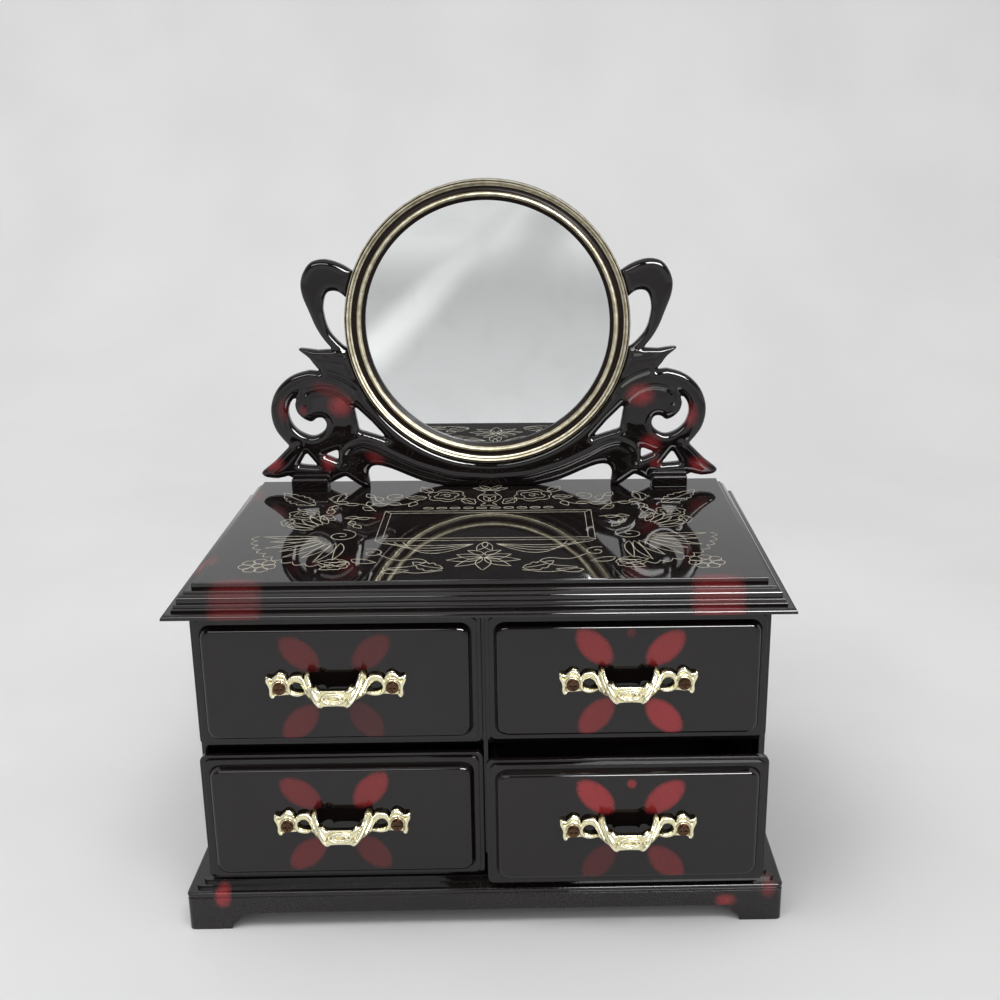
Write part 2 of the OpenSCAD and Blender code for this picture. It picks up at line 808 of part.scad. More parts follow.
module drawer_front(bay) {
    flange_y = plate_back_y - plate_t;
    panel_y = flange_y - flange_t;
    skin = 0.02;
    edge_t = panel_rise * 0.25;
    hole_r = pull_screw_r + screw_gap;
    color(lacquer)
        opened_to(bay)
            translate([bay[0] * front_x, 0, front_z(bay)])
                difference() {
                    union() {
                        upright(plate_back_y, plate_t)
                            rounded_square(front_w, front_h, plate_r);
                        upright(flange_y, flange_t)
                            rounded_square(front_w - 2 * flange_in, front_h - 2 * flange_in, plate_r);
                        hull() {
                            upright(panel_y, skin)
                                rounded_square(
                                    front_w - 2 * panel_foot_in, front_h - 2 * panel_foot_in, panel_r
                                );
                            upright(panel_y - panel_rise + edge_t, edge_t)
                                rounded_square(
                                    front_w - 2 * panel_face_in, front_h - 2 * panel_face_in, panel_r
                                );
                        }
                    }
                    for (sx = [-1, 1])
                        translate([sx * pull_pitch / 2, 0, 0])
                            rod_y(hole_r, plate_back_y + through, face_depth + 2 * through);
                }
}

module drawer_tray(bay) {
    low = [bay[0] * bay_x - tray_w / 2, plate_back_y, tray_z(bay)];
    wall = [tray_wall, tray_wall, tray_wall];
    color(lacquer)
        opened_to(bay)
            difference() {
                span(low, low + [tray_w, tray_d, tray_h]);
                span(low + wall, low + [tray_w - tray_wall, tray_d - tray_wall, tray_h + through]);
            }
}

module drawer_lining(bay) {
    low = [bay[0] * bay_x - tray_w / 2, plate_back_y, tray_z(bay)];
    inset = tray_wall + lining_gap;
    color(red_cloth)
        opened_to(bay)
            span(
                low + [inset, inset, tray_wall],
                low + [tray_w - inset, tray_d - inset, tray_wall + lining_t]
            );
}

// Right half of a pull seen from the front: x from its middle, z from its screws. Its points follow the
// plaque's edge, the screw or a share of the way between them
pull_end = pull_pitch / 2;
function arm(share) = plaque_half + (pull_end - plaque_half) * share;
pull_top = [
    [0, 1.6], [plaque_half - 1.6, 1.6], [plaque_half - 0.4, 1.8], [arm(0.05), 2.9], [arm(0.14), 2.4],
    [arm(0.22), 3.4], [arm(0.24), 5.8], [arm(0.31), 6], [arm(0.37), 4.4], [arm(0.395), 2.3],
    [arm(0.45), 3.9], [arm(0.57), 4.2], [arm(0.73), 3.6], [arm(0.8), 1.4], [pull_end - 2, 4.2],
    [pull_end + 0.1, 5.2], [pull_end + 1.6, 3.8], [pull_end + 2.4, 3.2], [pull_end + 4.2, 3.7],
    [pull_end + 4.4, 2.2], [pull_end + 3.7, 0.5],
];
pull_bottom = [
    [pull_end + 3.4, -1.2], [pull_end + 3.5, -3.4], [pull_end + 2.6, -4.3], [pull_end + 1.7, -3],
    [pull_end, -3], [arm(0.88), -2.8], [arm(0.78), -2.8], [arm(0.59), -3.6], [arm(0.43), -3],
    [arm(0.31), -1.8], [arm(0.23), -2.5], [arm(0.12), -2.5], [plaque_half, -3.2],
    [plaque_half - 0.5, -4.5], [plaque_half - 1.6, -3.8], [0, -3.7],
];
pull_drop = [
    [arm(0.75), 0.1], [arm(0.67), 1.4], [arm(0.56), 1.5], [arm(0.42), -0.1], [arm(0.39), -1.1],
    [arm(0.54), -1.9], [arm(0.7), -1.4],
];
pull_pad = 6.5;
pull_edge = 6;

// How far the pull's middle line stands off its ends at x
function pull_off(x) =
    let (t = min(1, max(0, (pull_end - pull_pad - abs(x)) / (pull_end - pull_pad - plaque_half))))
    pull_bow * t * t * (3 - 2 * t);

module pull_half_front() {
    difference() {
        polygon(concat(smooth(pull_top, 2), smooth(pull_bottom, 2)));
        polygon(smooth_loop(pull_drop, 2));
    }
}

module drawer_pull(bay) {
    half_len = pull_end + pull_edge;
    step = 1;
    xs = [for (x = [-half_len : step : half_len + step / 2]) x];
    color(pale_gold)
        opened_to(bay)
            translate([bay[0] * front_x, face_y, front_z(bay)])
                difference() {
                    intersection() {
                        union() {
                            for (side = [0, 1])
                                mirror([side, 0, 0])
                                    upright(through, pull_bow + pull_t + 2 * through)
                                        pull_half_front();
                        }
                        translate([0, 0, -front_h / 2])
                            linear_extrude(front_h)
                                polygon(concat(
                                    [for (x = xs) [x, -pull_off(x)]],
                                    [for (i = [len(xs) - 1 : -1 : 0]) [xs[i], -pull_off(xs[i]) - pull_t]]
                                ));
                    }
                    for (sx = [-1, 1])
                        translate([sx * pull_end, 0, 0])
                            rod_y(pull_screw_r + screw_gap, through, pull_t + 2 * through);
                }
}

module pull_screws(bay) {
    shank = pull_t + face_depth - tip_gap;
    color(screw_brown)
        opened_to(bay)
            for (sx = [-1, 1])
                translate([bay[0] * front_x + sx * pull_end, face_y - pull_t, front_z(bay)])
                    cross_screw(pull_head_r, pull_head_h, pull_screw_r, shank);
}

// Musical movement

module movement_bedplate() {
    pad_z = [comb_end_z, comb_root_z];
    color(cast_grey)
        difference() {
            union() {
                span([bed_x[0], bed_y, bed_z[0]], [bed_x[1], panel_in_y, bed_z[1]]);
                span(
                    [cylinder_x, spindle_y + comb_t / 2, pad_z[0]],
                    [cylinder_end, bed_y + through, pad_z[1]]
                );
            }
            translate([key_x, 0, key_z])
                rod_y(arbor_r + shaft_gap, panel_in_y + through, bed_t + 2 * through);
            for (p = bed_screws)
                translate([p[0], 0, p[1]])
                    rod_y(bed_screw_r + screw_gap, panel_in_y + through, bed_t + 2 * through);
            for (x = comb_screw_xs)
                translate([x, 0, comb_screw_z])
                    rod_y(bed_screw_r + screw_gap, spindle_y + comb_hole_d, comb_hole_d + through);
        }
}

module movement_screws() {
    color(steel)
        for (p = bed_screws)
            translate([p[0], back_y, p[1]])
                rotate([0, 0, 180])
                    cross_screw(bed_head_r, bed_head_h, bed_screw_r, back_t + bed_t);
}

module spring_barrel() {
    color(brass)
        translate([key_x, 0, key_z])
            difference() {
                rod_y(barrel_r, bed_y, barrel_h);
                rod_y(barrel_r - barrel_wall, bed_y - barrel_floor_t, barrel_h);
                rod_y(arbor_r + shaft_gap, bed_y + through, barrel_h);
            }
}

// Flat spiral strip inside the barrel
module mainspring() {
    inner = arbor_r + spring_t / 2 + 2 * spring_gap;
    outer = barrel_r - barrel_wall - spring_t / 2 - spring_gap;
    turn_step = 15;
    angles = [0 : turn_step : 360 * spring_turns];
    function radius(a) = inner + (outer - inner) * a / (360 * spring_turns);
    spiral = concat(
        [for (a = angles) (radius(a) + spring_t / 2) * [cos(a), sin(a)]],
        [for (a = [360 * spring_turns : -turn_step : 0]) (radius(a) - spring_t / 2) * [cos(a), sin(a)]]
    );
    color(steel)
        translate([key_x, 0, key_z])
            upright(bed_y - barrel_floor_t - spring_gap, barrel_h - barrel_floor_t - 2 * spring_gap)
                polygon(spiral);
}

module winding_arbor() {
    front = drive_face_y - drive_tooth_h / 2;
    color(steel)
        translate([key_x, 0, key_z])
            rod_y(arbor_r, arbor_end_y, arbor_end_y - front);
}

// Disc with teeth on its front face, near its rim
module drive_gear() {
    color(brass)
        translate([key_x, 0, key_z])
            difference() {
                union() {
                    rod_y(drive_pitch_r + drive_rim, drive_back_y, drive_disc_t);
                    for (i = [0 : drive_teeth - 1])
                        rotate([0, (i + 0.5) * 360 / drive_teeth, 0])
                            translate([drive_pitch_r, drive_face_y - drive_tooth_h / 2, 0])
                                cube([pinion_len, drive_tooth_h + tooth_sink, drive_tooth_t], center = true);
                }
                rod_y(arbor_r + screw_gap, drive_back_y + through, drive_disc_t + 2 * through);
            }
}

// Butterfly key on the arbor's end
module winding_key() {
    sleeve_wall = 1.4;
    sleeve_r = arbor_r + sleeve_wall;
    sleeve_len = 10;
    web_h = 5;
    eye_r = key_wing_r * 0.5;
    wing_y = back_y + key_reach - key_wing_r;
    wing_x = key_wing_r + sleeve_wall;
    color(brass)
        translate([key_x, 0, key_z])
            difference() {
                union() {
                    rod_y(sleeve_r, back_y + key_neck + sleeve_len, sleeve_len);
                    translate([0, 0, -key_wing_t / 2])
                        linear_extrude(key_wing_t)
                            difference() {
                                union() {
                                    for (sx = [-1, 1])
                                        translate([sx * wing_x, wing_y])
                                            circle(key_wing_r);
                                    translate([-wing_x, wing_y - web_h / 2])
                                        square([2 * wing_x, web_h]);
                                    translate([-sleeve_r, back_y + sleeve_len])
                                        square([2 * sleeve_r, wing_y - back_y - sleeve_len]);
                                }
                                for (sx = [-1, 1])
                                    translate([sx * wing_x, wing_y])
                                        circle(eye_r);
                            }
                }
                rod_y(arbor_r + screw_gap, arbor_end_y + screw_gap, arbor_end_y - back_y);
            }
}

// Upright bracket on the bedplate with a bearing for each height in zs
module bearing_bracket(x, low, high, zs, r) {
    difference() {
        span([x, spindle_y - bracket_front, low], [x + bracket_t, bed_y, high]);
        for (i = [0 : len(zs) - 1])
            translate([0, spindle_y, zs[i]])
                rod_x(r[i] + shaft_gap, x - through, bracket_t + 2 * through);
    }
}

module cylinder_brackets() {
    color(brass) {
        bearing_bracket(left_bracket_x, key_z - bearing_half, key_z + bearing_half, [key_z], [spindle_r]);
        bearing_bracket(
            right_bracket_x, key_z - bearing_half, governor_z + governor_bearing_half,
            [key_z, governor_z], [spindle_r, governor_r]
        );
    }
}

// Gear of n trapezoid teeth in the YZ plane, from x towards +X. tooth holds a tooth's widths at its foot
// and its tip
module tooth_wheel(n, root, tip, tooth, turn, x, len) {
    sunk = root * 0.6;
    foot_half = tooth[0] / 2;
    tip_half = tooth[1] / 2;
    translate([x, 0, 0])
        rotate([0, 90, 0])
            union() {
                cylinder(r = root, h = len);
                for (i = [0 : n - 1])
                    rotate([0, 0, turn + i * 360 / n])
                        linear_extrude(len)
                            polygon([
                                [sunk, -foot_half], [root, -foot_half], [tip, -tip_half],
                                [tip, tip_half], [root, foot_half], [sunk, foot_half],
                            ]);
            }
}

module pinned_cylinder() {
    track = cylinder_len / tracks;
    pins = 2;
    pin_w = 0.5;
    pin_start = 20;
    pin_turn = 137;
    pinion_low = pinion_x - pinion_len / 2;
    color(brass)
        translate([0, spindle_y, key_z])
            union() {
                rod_x(cylinder_r, cylinder_x, cylinder_len);
                rod_x(spindle_r, pinion_low, spindle_end - pinion_low);
                tooth_wheel(
                    pinion_teeth, pinion_root_r, pinion_tip_r, pinion_tooth, pinion_phase,
                    pinion_low, pinion_len
                );
                for (i = [0 : tracks - 1], k = [0 : pins - 1])
                    translate([cylinder_x + track * (i + 0.5), 0, 0])
                        rotate([pin_start + i * pin_turn + k * 360 / pins, 0, 0])
                            translate([-pin_w / 2, -pin_w / 2, 0])
                                cube([pin_w, pin_w, cylinder_r + pin_h]);
            }
}

module cylinder_gear() {
    color(brass)
        translate([0, spindle_y, key_z])
            difference() {
                tooth_wheel(
                    cylinder_teeth, cylinder_pitch_r - gear_dedendum, cylinder_pitch_r + gear_addendum,
                    cylinder_tooth, 0, gear_x, gear_len
                );
                rod_x(spindle_r + screw_gap, gear_x - through, gear_len + 2 * through);
            }
}

module comb() {
    track = cylinder_len / tracks;
    slot_w = 0.3;
    slot_end = 0.5;
    color(steel)
        difference() {
            span(
                [cylinder_x, spindle_y - comb_t / 2, comb_end_z],
                [cylinder_end, spindle_y + comb_t / 2, comb_tip_z]
            );
            for (i = [1 : tracks - 1])
                span(
                    [cylinder_x + track * i - slot_w / 2, spindle_y - comb_t, comb_root_z + slot_end],
                    [cylinder_x + track * i + slot_w / 2, spindle_y + comb_t, comb_tip_z + through]
                );
            for (x = comb_screw_xs)
                translate([x, spindle_y, comb_screw_z])
                    rod_y(bed_screw_r + screw_gap, comb_t, 2 * comb_t);
        }
}

module comb_screws() {
    color(steel)
        for (x = comb_screw_xs)
            translate([x, spindle_y - comb_t / 2, comb_screw_z])
                cross_screw(bed_head_r, bed_head_h, bed_screw_r, comb_screw_len);
}

module governor_fan() {
    shaft_start = gear_x - governor_stub;
    color(brass)
        translate([0, spindle_y, governor_z])
            union() {
                rod_x(governor_r, shaft_start, end_bracket_x + bracket_t - shaft_start);
                tooth_wheel(
                    governor_teeth, governor_pitch_r - gear_dedendum, governor_pitch_r + gear_addendum,
                    governor_tooth, 180 / governor_teeth, gear_x, gear_len
                );
                rod_x(governor_r + fan_hub, fan_x, fan_len);
                for (a = [0, 180])
                    rotate([a, 0, 0])
                        translate([fan_x, -fan_t / 2, 0])
                            cube([fan_len, fan_t, fan_r]);
            }
}

module governor_bracket() {
    color(brass)
        bearing_bracket(
            end_bracket_x, governor_z - governor_foot, governor_z + governor_bearing_half,
            [governor_z], [governor_r]
        );
}

// Lever seen from above: a long arm over the fan and a short arm with a tab behind the drawer's tray
module stop_lever() {
    finger = [fan_x + fan_len / 2, spindle_y];
    tab_t = 1.5;
    tab_y = tray_back_y + lever_gap;
    reach = finger - [lever_x, lever_y];
    color(steel)
        difference() {
            union() {
                translate([lever_x, lever_y, lever_z])
                    cylinder(r = lever_hub_r, h = lever_t);
                translate([lever_x, lever_y, lever_z])
                    rotate([0, 0, atan2(reach[1], reach[0])])
                        translate([0, -lever_w / 2, 0])
                            cube([norm(reach), lever_w, lever_t]);
                span(
                    [lever_x, lever_y - lever_w / 2, lever_z],
                    [lever_x + lever_arm, lever_y + lever_w / 2, lever_z + lever_t]
                );
                span(
                    [lever_x + lever_arm - tab_t, tab_y, lever_z - lever_tab_drop],
                    [lever_x + lever_arm, lever_y + lever_w / 2, lever_z + lever_t]
                );
            }
            translate([lever_x, lever_y, lever_z - through])
                cylinder(r = lever_pin_r + shaft_gap, h = lever_t + 2 * through);
        }
}

module lever_bracket() {
    shelf_top = lever_z - lever_play;
    color(brass)
        union() {
            span(
                [lever_x - lever_hub_r, lever_y - lever_hub_r, shelf_top - lever_shelf_t],
                [lever_x + lever_hub_r, bed_y, shelf_top]
            );
            translate([lever_x, lever_y, shelf_top - lever_shelf_t])
                cylinder(r = lever_pin_r, h = lever_shelf_t + lever_t + lever_pin_top);
        }
}

// Brings the box's middle, from the pulls to the key, over the origin
module placed() {
    translate([0, frame_y, 0])
        children();
}

placed() plinth();
placed() case_side(-1);  // case_left_side
placed() case_side(1);  // case_right_side
placed() shelf();
placed() centre_divider(shelf_z + shelf_t, case_top);  // upper_divider
placed() centre_divider(plinth_top, shelf_z);  // lower_divider
placed() back_panel();
placed() back_screws();
placed() top_board();
placed() scroll_stand();
placed() stand_screws();
placed() mirror_ring();
placed() mirror_glass();
placed() mirror_backing();
placed() drawer_front(UPPER_LEFT);  // drawer_front_upper_left
placed() drawer_tray(UPPER_LEFT);  // drawer_tray_upper_left
placed() drawer_lining(UPPER_LEFT);  // drawer_lining_upper_left
placed() drawer_pull(UPPER_LEFT);  // drawer_pull_upper_left
placed() pull_screws(UPPER_LEFT);  // pull_screws_upper_left
placed() drawer_front(UPPER_RIGHT);  // drawer_front_upper_right
placed() drawer_tray(UPPER_RIGHT);  // drawer_tray_upper_right
placed() drawer_lining(UPPER_RIGHT);  // drawer_lining_upper_right
placed() drawer_pull(UPPER_RIGHT);  // drawer_pull_upper_right
placed() pull_screws(UPPER_RIGHT);  // pull_screws_upper_right
placed() drawer_front(LOWER_LEFT);  // drawer_front_lower_left
placed() drawer_tray(LOWER_LEFT);  // drawer_tray_lower_left
placed() drawer_lining(LOWER_LEFT);  // drawer_lining_lower_left
placed() drawer_pull(LOWER_LEFT);  // drawer_pull_lower_left
placed() pull_screws(LOWER_LEFT);  // pull_screws_lower_left
placed() drawer_front(LOWER_RIGHT);  // drawer_front_lower_right
placed() drawer_tray(LOWER_RIGHT);  // drawer_tray_lower_right
placed() drawer_lining(LOWER_RIGHT);  // drawer_lining_lower_right
placed() drawer_pull(LOWER_RIGHT);  // drawer_pull_lower_right
placed() pull_screws(LOWER_RIGHT);  // pull_screws_lower_right
placed() movement_bedplate();
placed() movement_screws();
placed() spring_barrel();
placed() mainspring();
placed() winding_arbor();
placed() drive_gear();
placed() winding_key();
placed() cylinder_brackets();
placed() pinned_cylinder();
placed() cylinder_gear();
placed() comb();
placed() comb_screws();
placed() governor_fan();
placed() governor_bracket();
placed() stop_lever();
placed() lever_bracket();
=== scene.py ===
"""Dresses the musical jewelry box and sets it in a pale studio.

Sizes are in millimetres here and in metres in the meshes. X runs along the front, Y to the back and Z up
from the floor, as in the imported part.
"""

import json
import logging
import math
from collections import Counter
from contextlib import contextmanager
from dataclasses import dataclass, field
from enum import Enum
from typing import Callable, Iterator, Sequence

import bmesh
import bpy
import numpy as np
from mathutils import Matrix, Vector

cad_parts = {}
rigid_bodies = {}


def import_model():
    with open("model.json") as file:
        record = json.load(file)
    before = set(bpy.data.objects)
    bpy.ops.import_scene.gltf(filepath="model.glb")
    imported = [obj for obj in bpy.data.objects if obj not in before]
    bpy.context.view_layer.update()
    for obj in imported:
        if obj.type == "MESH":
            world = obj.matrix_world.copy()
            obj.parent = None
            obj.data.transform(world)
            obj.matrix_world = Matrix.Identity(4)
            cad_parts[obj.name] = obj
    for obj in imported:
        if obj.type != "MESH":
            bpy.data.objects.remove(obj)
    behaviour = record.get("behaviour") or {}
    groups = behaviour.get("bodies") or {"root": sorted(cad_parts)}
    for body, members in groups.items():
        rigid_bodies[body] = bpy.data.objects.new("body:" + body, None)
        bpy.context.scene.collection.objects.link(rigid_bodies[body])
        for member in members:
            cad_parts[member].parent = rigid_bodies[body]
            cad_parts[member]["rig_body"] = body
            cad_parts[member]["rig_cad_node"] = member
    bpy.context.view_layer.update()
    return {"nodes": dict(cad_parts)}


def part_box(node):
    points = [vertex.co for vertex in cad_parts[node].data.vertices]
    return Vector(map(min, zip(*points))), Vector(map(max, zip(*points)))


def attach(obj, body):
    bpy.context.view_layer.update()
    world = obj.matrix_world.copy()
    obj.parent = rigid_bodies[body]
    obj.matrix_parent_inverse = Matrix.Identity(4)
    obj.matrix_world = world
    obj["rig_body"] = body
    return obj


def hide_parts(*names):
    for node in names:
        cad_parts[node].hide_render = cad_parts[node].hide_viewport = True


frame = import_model()

LOG = logging.getLogger("jewelry_box")
MM = 0.001
MERGE = 0.002 * MM
FLAT_ANGLE = math.radians(0.5)
SMOOTH_ANGLE = math.radians(50)
SHARP_ANGLE = math.radians(40)
CORNER_ANGLE = math.radians(60)
NEAR = 0.05
EDGE_FACES = 3
CORNER_FACES = 5
PANEL_CORNER_FACES = 8
CHUNK = 2000

Piece = bpy.types.Object
Edge = bmesh.types.BMEdge
Socket = bpy.types.NodeSocket
Material = bpy.types.Material
Pair = tuple[float, float]
Triple = tuple[float, float, float]
Colour = tuple[float, float, float, float]
Path2 = list[Pair]
Feeds = dict[str | int, object]


class Side(Enum):
    """Which half of the box a drawer is in."""

    LEFT = "left"
    RIGHT = "right"


class Row(Enum):
    """Which row a drawer is in."""

    LOWER = "lower"
    UPPER = "upper"


class Spray(Enum):
    """Outline of a sprayed dab."""

    OVAL = "oval"
    PETAL = "petal"
    PATCH = "patch"


class Slot(Enum):
    """The part's material slots that the new pieces stand for."""

    LACQUER = "black_lacquer"
    RING = "ring_frame"
    TRAY = "tray_plastic"
    VELVET = "red_velvet"
    GOLD = "pale_gold"
    BRASS = "movement_brass"


# Bench: the moves that the pieces share


def deselect() -> None:
    """Leave edit mode and deselect everything."""
    if bpy.context.object is not None and bpy.context.object.mode != "OBJECT":
        bpy.ops.object.mode_set(mode="OBJECT")
    bpy.ops.object.select_all(action="DESELECT")


def take(piece: Piece) -> None:
    """Select one piece alone and make it the active one."""
    deselect()
    piece.select_set(True)
    bpy.context.view_layer.objects.active = piece


@contextmanager
def editing(piece: Piece) -> Iterator[None]:
    """Hold a piece in edit mode with all of it selected.

    Args:
        piece: the piece.
    """
    take(piece)
    bpy.ops.object.mode_set(mode="EDIT")
    bpy.ops.mesh.select_mode(type="VERT")
    choose_all()
    yield
    bpy.ops.object.mode_set(mode="OBJECT")


def choose_all() -> None:
    """Select all of the piece that is in edit mode."""
    bpy.ops.mesh.select_all(action="SELECT")


def settle() -> None:
    """Work the active piece's place, turn and size into its mesh."""
    bpy.ops.object.transform_apply(location=True, rotation=True, scale=True)


def named(piece: Piece, name: str) -> Piece:
    """Give a piece and its mesh one name."""
    piece.name = name
    piece.data.name = name
    return piece


def copy_of(node: str, name: str) -> Piece:
    """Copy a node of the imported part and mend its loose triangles.

    Args:
        node: the node's name.
        name: the copy's name.

    Returns:
        The copy, free of the frame, with no material.
    """
    take(frame["nodes"][node])
    bpy.ops.object.duplicate()
    piece = named(bpy.context.object, name)
    bpy.ops.object.parent_clear(type="CLEAR_KEEP_TRANSFORM")
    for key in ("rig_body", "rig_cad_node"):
        del piece[key]
    piece.data.materials.clear()
    bpy.ops.mesh.customdata_custom_splitnormals_clear()
    with editing(piece):
        bpy.ops.mesh.remove_doubles(threshold=MERGE)
        bpy.ops.mesh.dissolve_limited(angle_limit=FLAT_ANGLE)
        bpy.ops.mesh.normals_make_consistent(inside=False)
    return piece


def twin_of(piece: Piece, name: str, shift: Vector) -> Piece:
    """Copy a finished piece, with a mesh of its own, to another place.

    Args:
        piece: the piece to copy.
        name: the copy's name.
        shift: how far the copy lies from the piece, in metres.

    Returns:
        The copy.
    """
    take(piece)
    bpy.ops.object.duplicate()
    twin = named(bpy.context.object, name)
    bpy.ops.transform.translate(value=shift)
    settle()
    return twin


def finish_with(piece: Piece, kind: str, **settings: object) -> None:
    """Add a modifier to a piece and apply it.

    Args:
        piece: the piece.
        kind: Blender's name of the modifier.
        settings: the modifier's values.
    """
    take(piece)
    bpy.ops.object.modifier_add(type=kind)
    modifier = piece.modifiers[-1]
    for key, value in settings.items():
        setattr(modifier, key, value)
    bpy.ops.object.modifier_apply(modifier=modifier.name)


def shade(piece: Piece) -> None:
    """Shade curves smooth and keep flat faces flat."""
    take(piece)
    bpy.ops.object.shade_smooth_by_angle(angle=SMOOTH_ANGLE)
    finish_with(piece, "WEIGHTED_NORMAL", weight=90, keep_sharp=True)


def smooth(piece: Piece, times: int = 0) -> None:
    """Even out a piece's skin and shade it smooth all over.

    Args:
        piece: the piece.
        times: how many times its skin is evened out.
    """
    if times:
        with editing(piece):
            bpy.ops.mesh.vertices_smooth(factor=0.5, repeat=times)
    take(piece)
    bpy.ops.object.shade_smooth()


def bevel(piece: Piece, width: float, faces: int, chosen: Callable[[Edge], bool]) -> None:
    """Bevel some edges of a piece.

    Args:
        piece: the piece.
        width: the bevel's width in mm.
        faces: how many faces make the bevel.
        chosen: tells whether an edge is bevelled.
    """
    with editing(piece):
        bpy.ops.mesh.select_mode(type="EDGE")
        bpy.ops.mesh.select_all(action="DESELECT")
        mesh = bmesh.from_edit_mesh(piece.data)
        for edge in mesh.edges:
            edge.select_set(chosen(edge))
        bmesh.update_edit_mesh(piece.data)
        bpy.ops.mesh.bevel(offset=width * MM, segments=faces, affect="EDGES", clamp_overlap=True)


def round_edges(piece: Piece, width: float) -> None:
    """Round the outer edges of a piece by a width in mm and keep its flat faces flat."""
    bevel(piece, width, EDGE_FACES, lambda edge: edge.is_convex and edge.calc_face_angle(0) > SHARP_ANGLE)
    shade(piece)


def round_corners(piece: Piece, width: float, reach: float) -> None:
    """Round the four upright outer corners of a box-shaped piece.

    Args:
        piece: the piece.
        width: the bevel's width in mm.
        reach: how far in from the corners the edges to round lie, in mm.
    """
    low, high = points_of(piece).min(axis=0), points_of(piece).max(axis=0)
    middle, half = (low + high) / 2, (high - low) / 2

    def upright(edge: Edge) -> bool:
        """Tell whether an edge climbs an outer corner."""
        rows = np.array([v.co for v in edge.verts]) / MM
        inset = half[:2] - np.abs(rows[:, :2] - middle[:2])
        mitred = np.abs(inset[:, 0] - inset[:, 1]).max() < NEAR and inset.max() < reach
        return bool(mitred and np.ptp(rows[:, 2]) > NEAR and edge.is_convex)

    bevel(piece, width, CORNER_FACES, upright)


def stepped_panel(name: str, size: Pair, corner: float, steps: Sequence[Pair]) -> Piece:
    """Draw a rounded rectangle out towards the front in steps.

    Args:
        name: the panel's name.
        size: its width and height in mm.
        corner: the radius of its corners.
        steps: (inset, depth) from its back to its face.

    Returns:
        The panel, its back's middle at the origin.
    """
    deselect()
    bpy.ops.mesh.primitive_plane_add(size=1, rotation=(math.pi / 2, 0, 0))
    panel = named(bpy.context.object, name)
    settle()
    with editing(panel):
        bpy.ops.transform.resize(value=(size[0] * MM, 1, size[1] * MM))
        bpy.ops.mesh.bevel(offset=corner * MM, segments=PANEL_CORNER_FACES, affect="VERTICES")
        choose_all()
        for (inset, depth), (next_inset, next_depth) in zip(steps, steps[1:]):
            move = {"value": (0, (depth - next_depth) * MM, 0)}
            bpy.ops.mesh.extrude_region_move(TRANSFORM_OT_translate=move)
            share = [(side - 2 * next_inset) / (side - 2 * inset) for side in size]
            bpy.ops.transform.resize(value=(share[0], 1, share[1]), center_override=(0, 0, 0))
        choose_all()
        bpy.ops.transform.translate(value=(0, -steps[0][1] * MM, 0))
        bpy.ops.mesh.normals_make_consistent(inside=False)
    return panel


def nose(inset: float, depth: float, r: float, count: int = 3, lean: float = 0) -> list[Pair]:
    """Round from a wall at an inset to a face at a depth.

    Args:
        inset: the wall's inset where the round starts.
        depth: the face's depth.
        r: the radius.
        count: how many parts it has.
        lean: how far the wall leans in, in degrees.

    Returns:
        (inset, depth) points from the wall to the face.
    """
    turns = [math.radians(lean + (90 - lean) * i / count) for i in range(count + 1)]
    start = inset + r * math.cos(math.radians(lean))
    return [(start - r * math.cos(a), depth - r + r * math.sin(a)) for a in turns]


def fuse(piece: Piece, voxel: float, smoothing: int) -> None:
    """Fuse all that a piece holds into one skin, as a casting is.

    Args:
        piece: the piece.
        voxel: the size of a face in mm.
        smoothing: how many times the skin is smoothed.
    """
    take(piece)
    piece.data.remesh_voxel_size = voxel * MM
    piece.data.remesh_voxel_adaptivity = 0
    bpy.ops.object.voxel_remesh()
    smooth(piece, smoothing)


def points_of(piece: Piece) -> np.ndarray:
    """Return a piece's vertices in mm, one row each."""
    flat = np.zeros(len(piece.data.vertices) * 3)
    piece.data.vertices.foreach_get("co", flat)
    return flat.reshape(-1, 3) / MM


def set_points(piece: Piece, points: np.ndarray) -> None:
    """Move a piece's vertices to these places in mm."""
    piece.data.vertices.foreach_set("co", (points * MM).ravel())
    piece.data.update()


def mark_hollows(piece: Piece, reach: int, back: Triple) -> None:
    """Keep how hollow the skin is at each vertex as the attribute "hollow".

    It is 0 on crests, 1 in hollows and up to 2 where a term for painted shade on faces turned back is added.

    Args:
        piece: the piece.
        reach: how many rings of neighbours are averaged.
        back: the way that faces which get painted back shade point.
    """
    back_shade_gain, back_shade_start = 2.5, 0.35
    points = points_of(piece)
    edges = np.zeros(len(piece.data.edges) * 2, dtype=int)
    piece.data.edges.foreach_get("vertices", edges)
    ends = edges.reshape(-1, 2)
    count = np.bincount(edges, minlength=len(points))[:, None]
    normals = np.zeros(len(points) * 3)
    piece.data.vertices.foreach_get("normal", normals)
    mean = points
    for _ in range(reach):
        total = np.zeros_like(points)
        np.add.at(total, ends[:, 0], mean[ends[:, 1]])
        np.add.at(total, ends[:, 1], mean[ends[:, 0]])
        mean = total / np.maximum(count, 1)
    depth = ((mean - points) * normals.reshape(-1, 3)).sum(1)
    spread = max(float(np.percentile(np.abs(depth), 95)), 1e-9)
    hollow = np.clip(0.5 + 0.5 * depth / spread, 0, 1)
    # painted shade: faces turned along the back way get up to 1 more, which the gold finish paints near black
    hollow += np.clip(back_shade_gain * (normals.reshape(-1, 3) @ np.array(back)) + back_shade_start, 0, 1)
    layer = piece.data.attributes.new("hollow", "FLOAT", "POINT")
    layer.data.foreach_set("value", hollow.astype(np.float32))


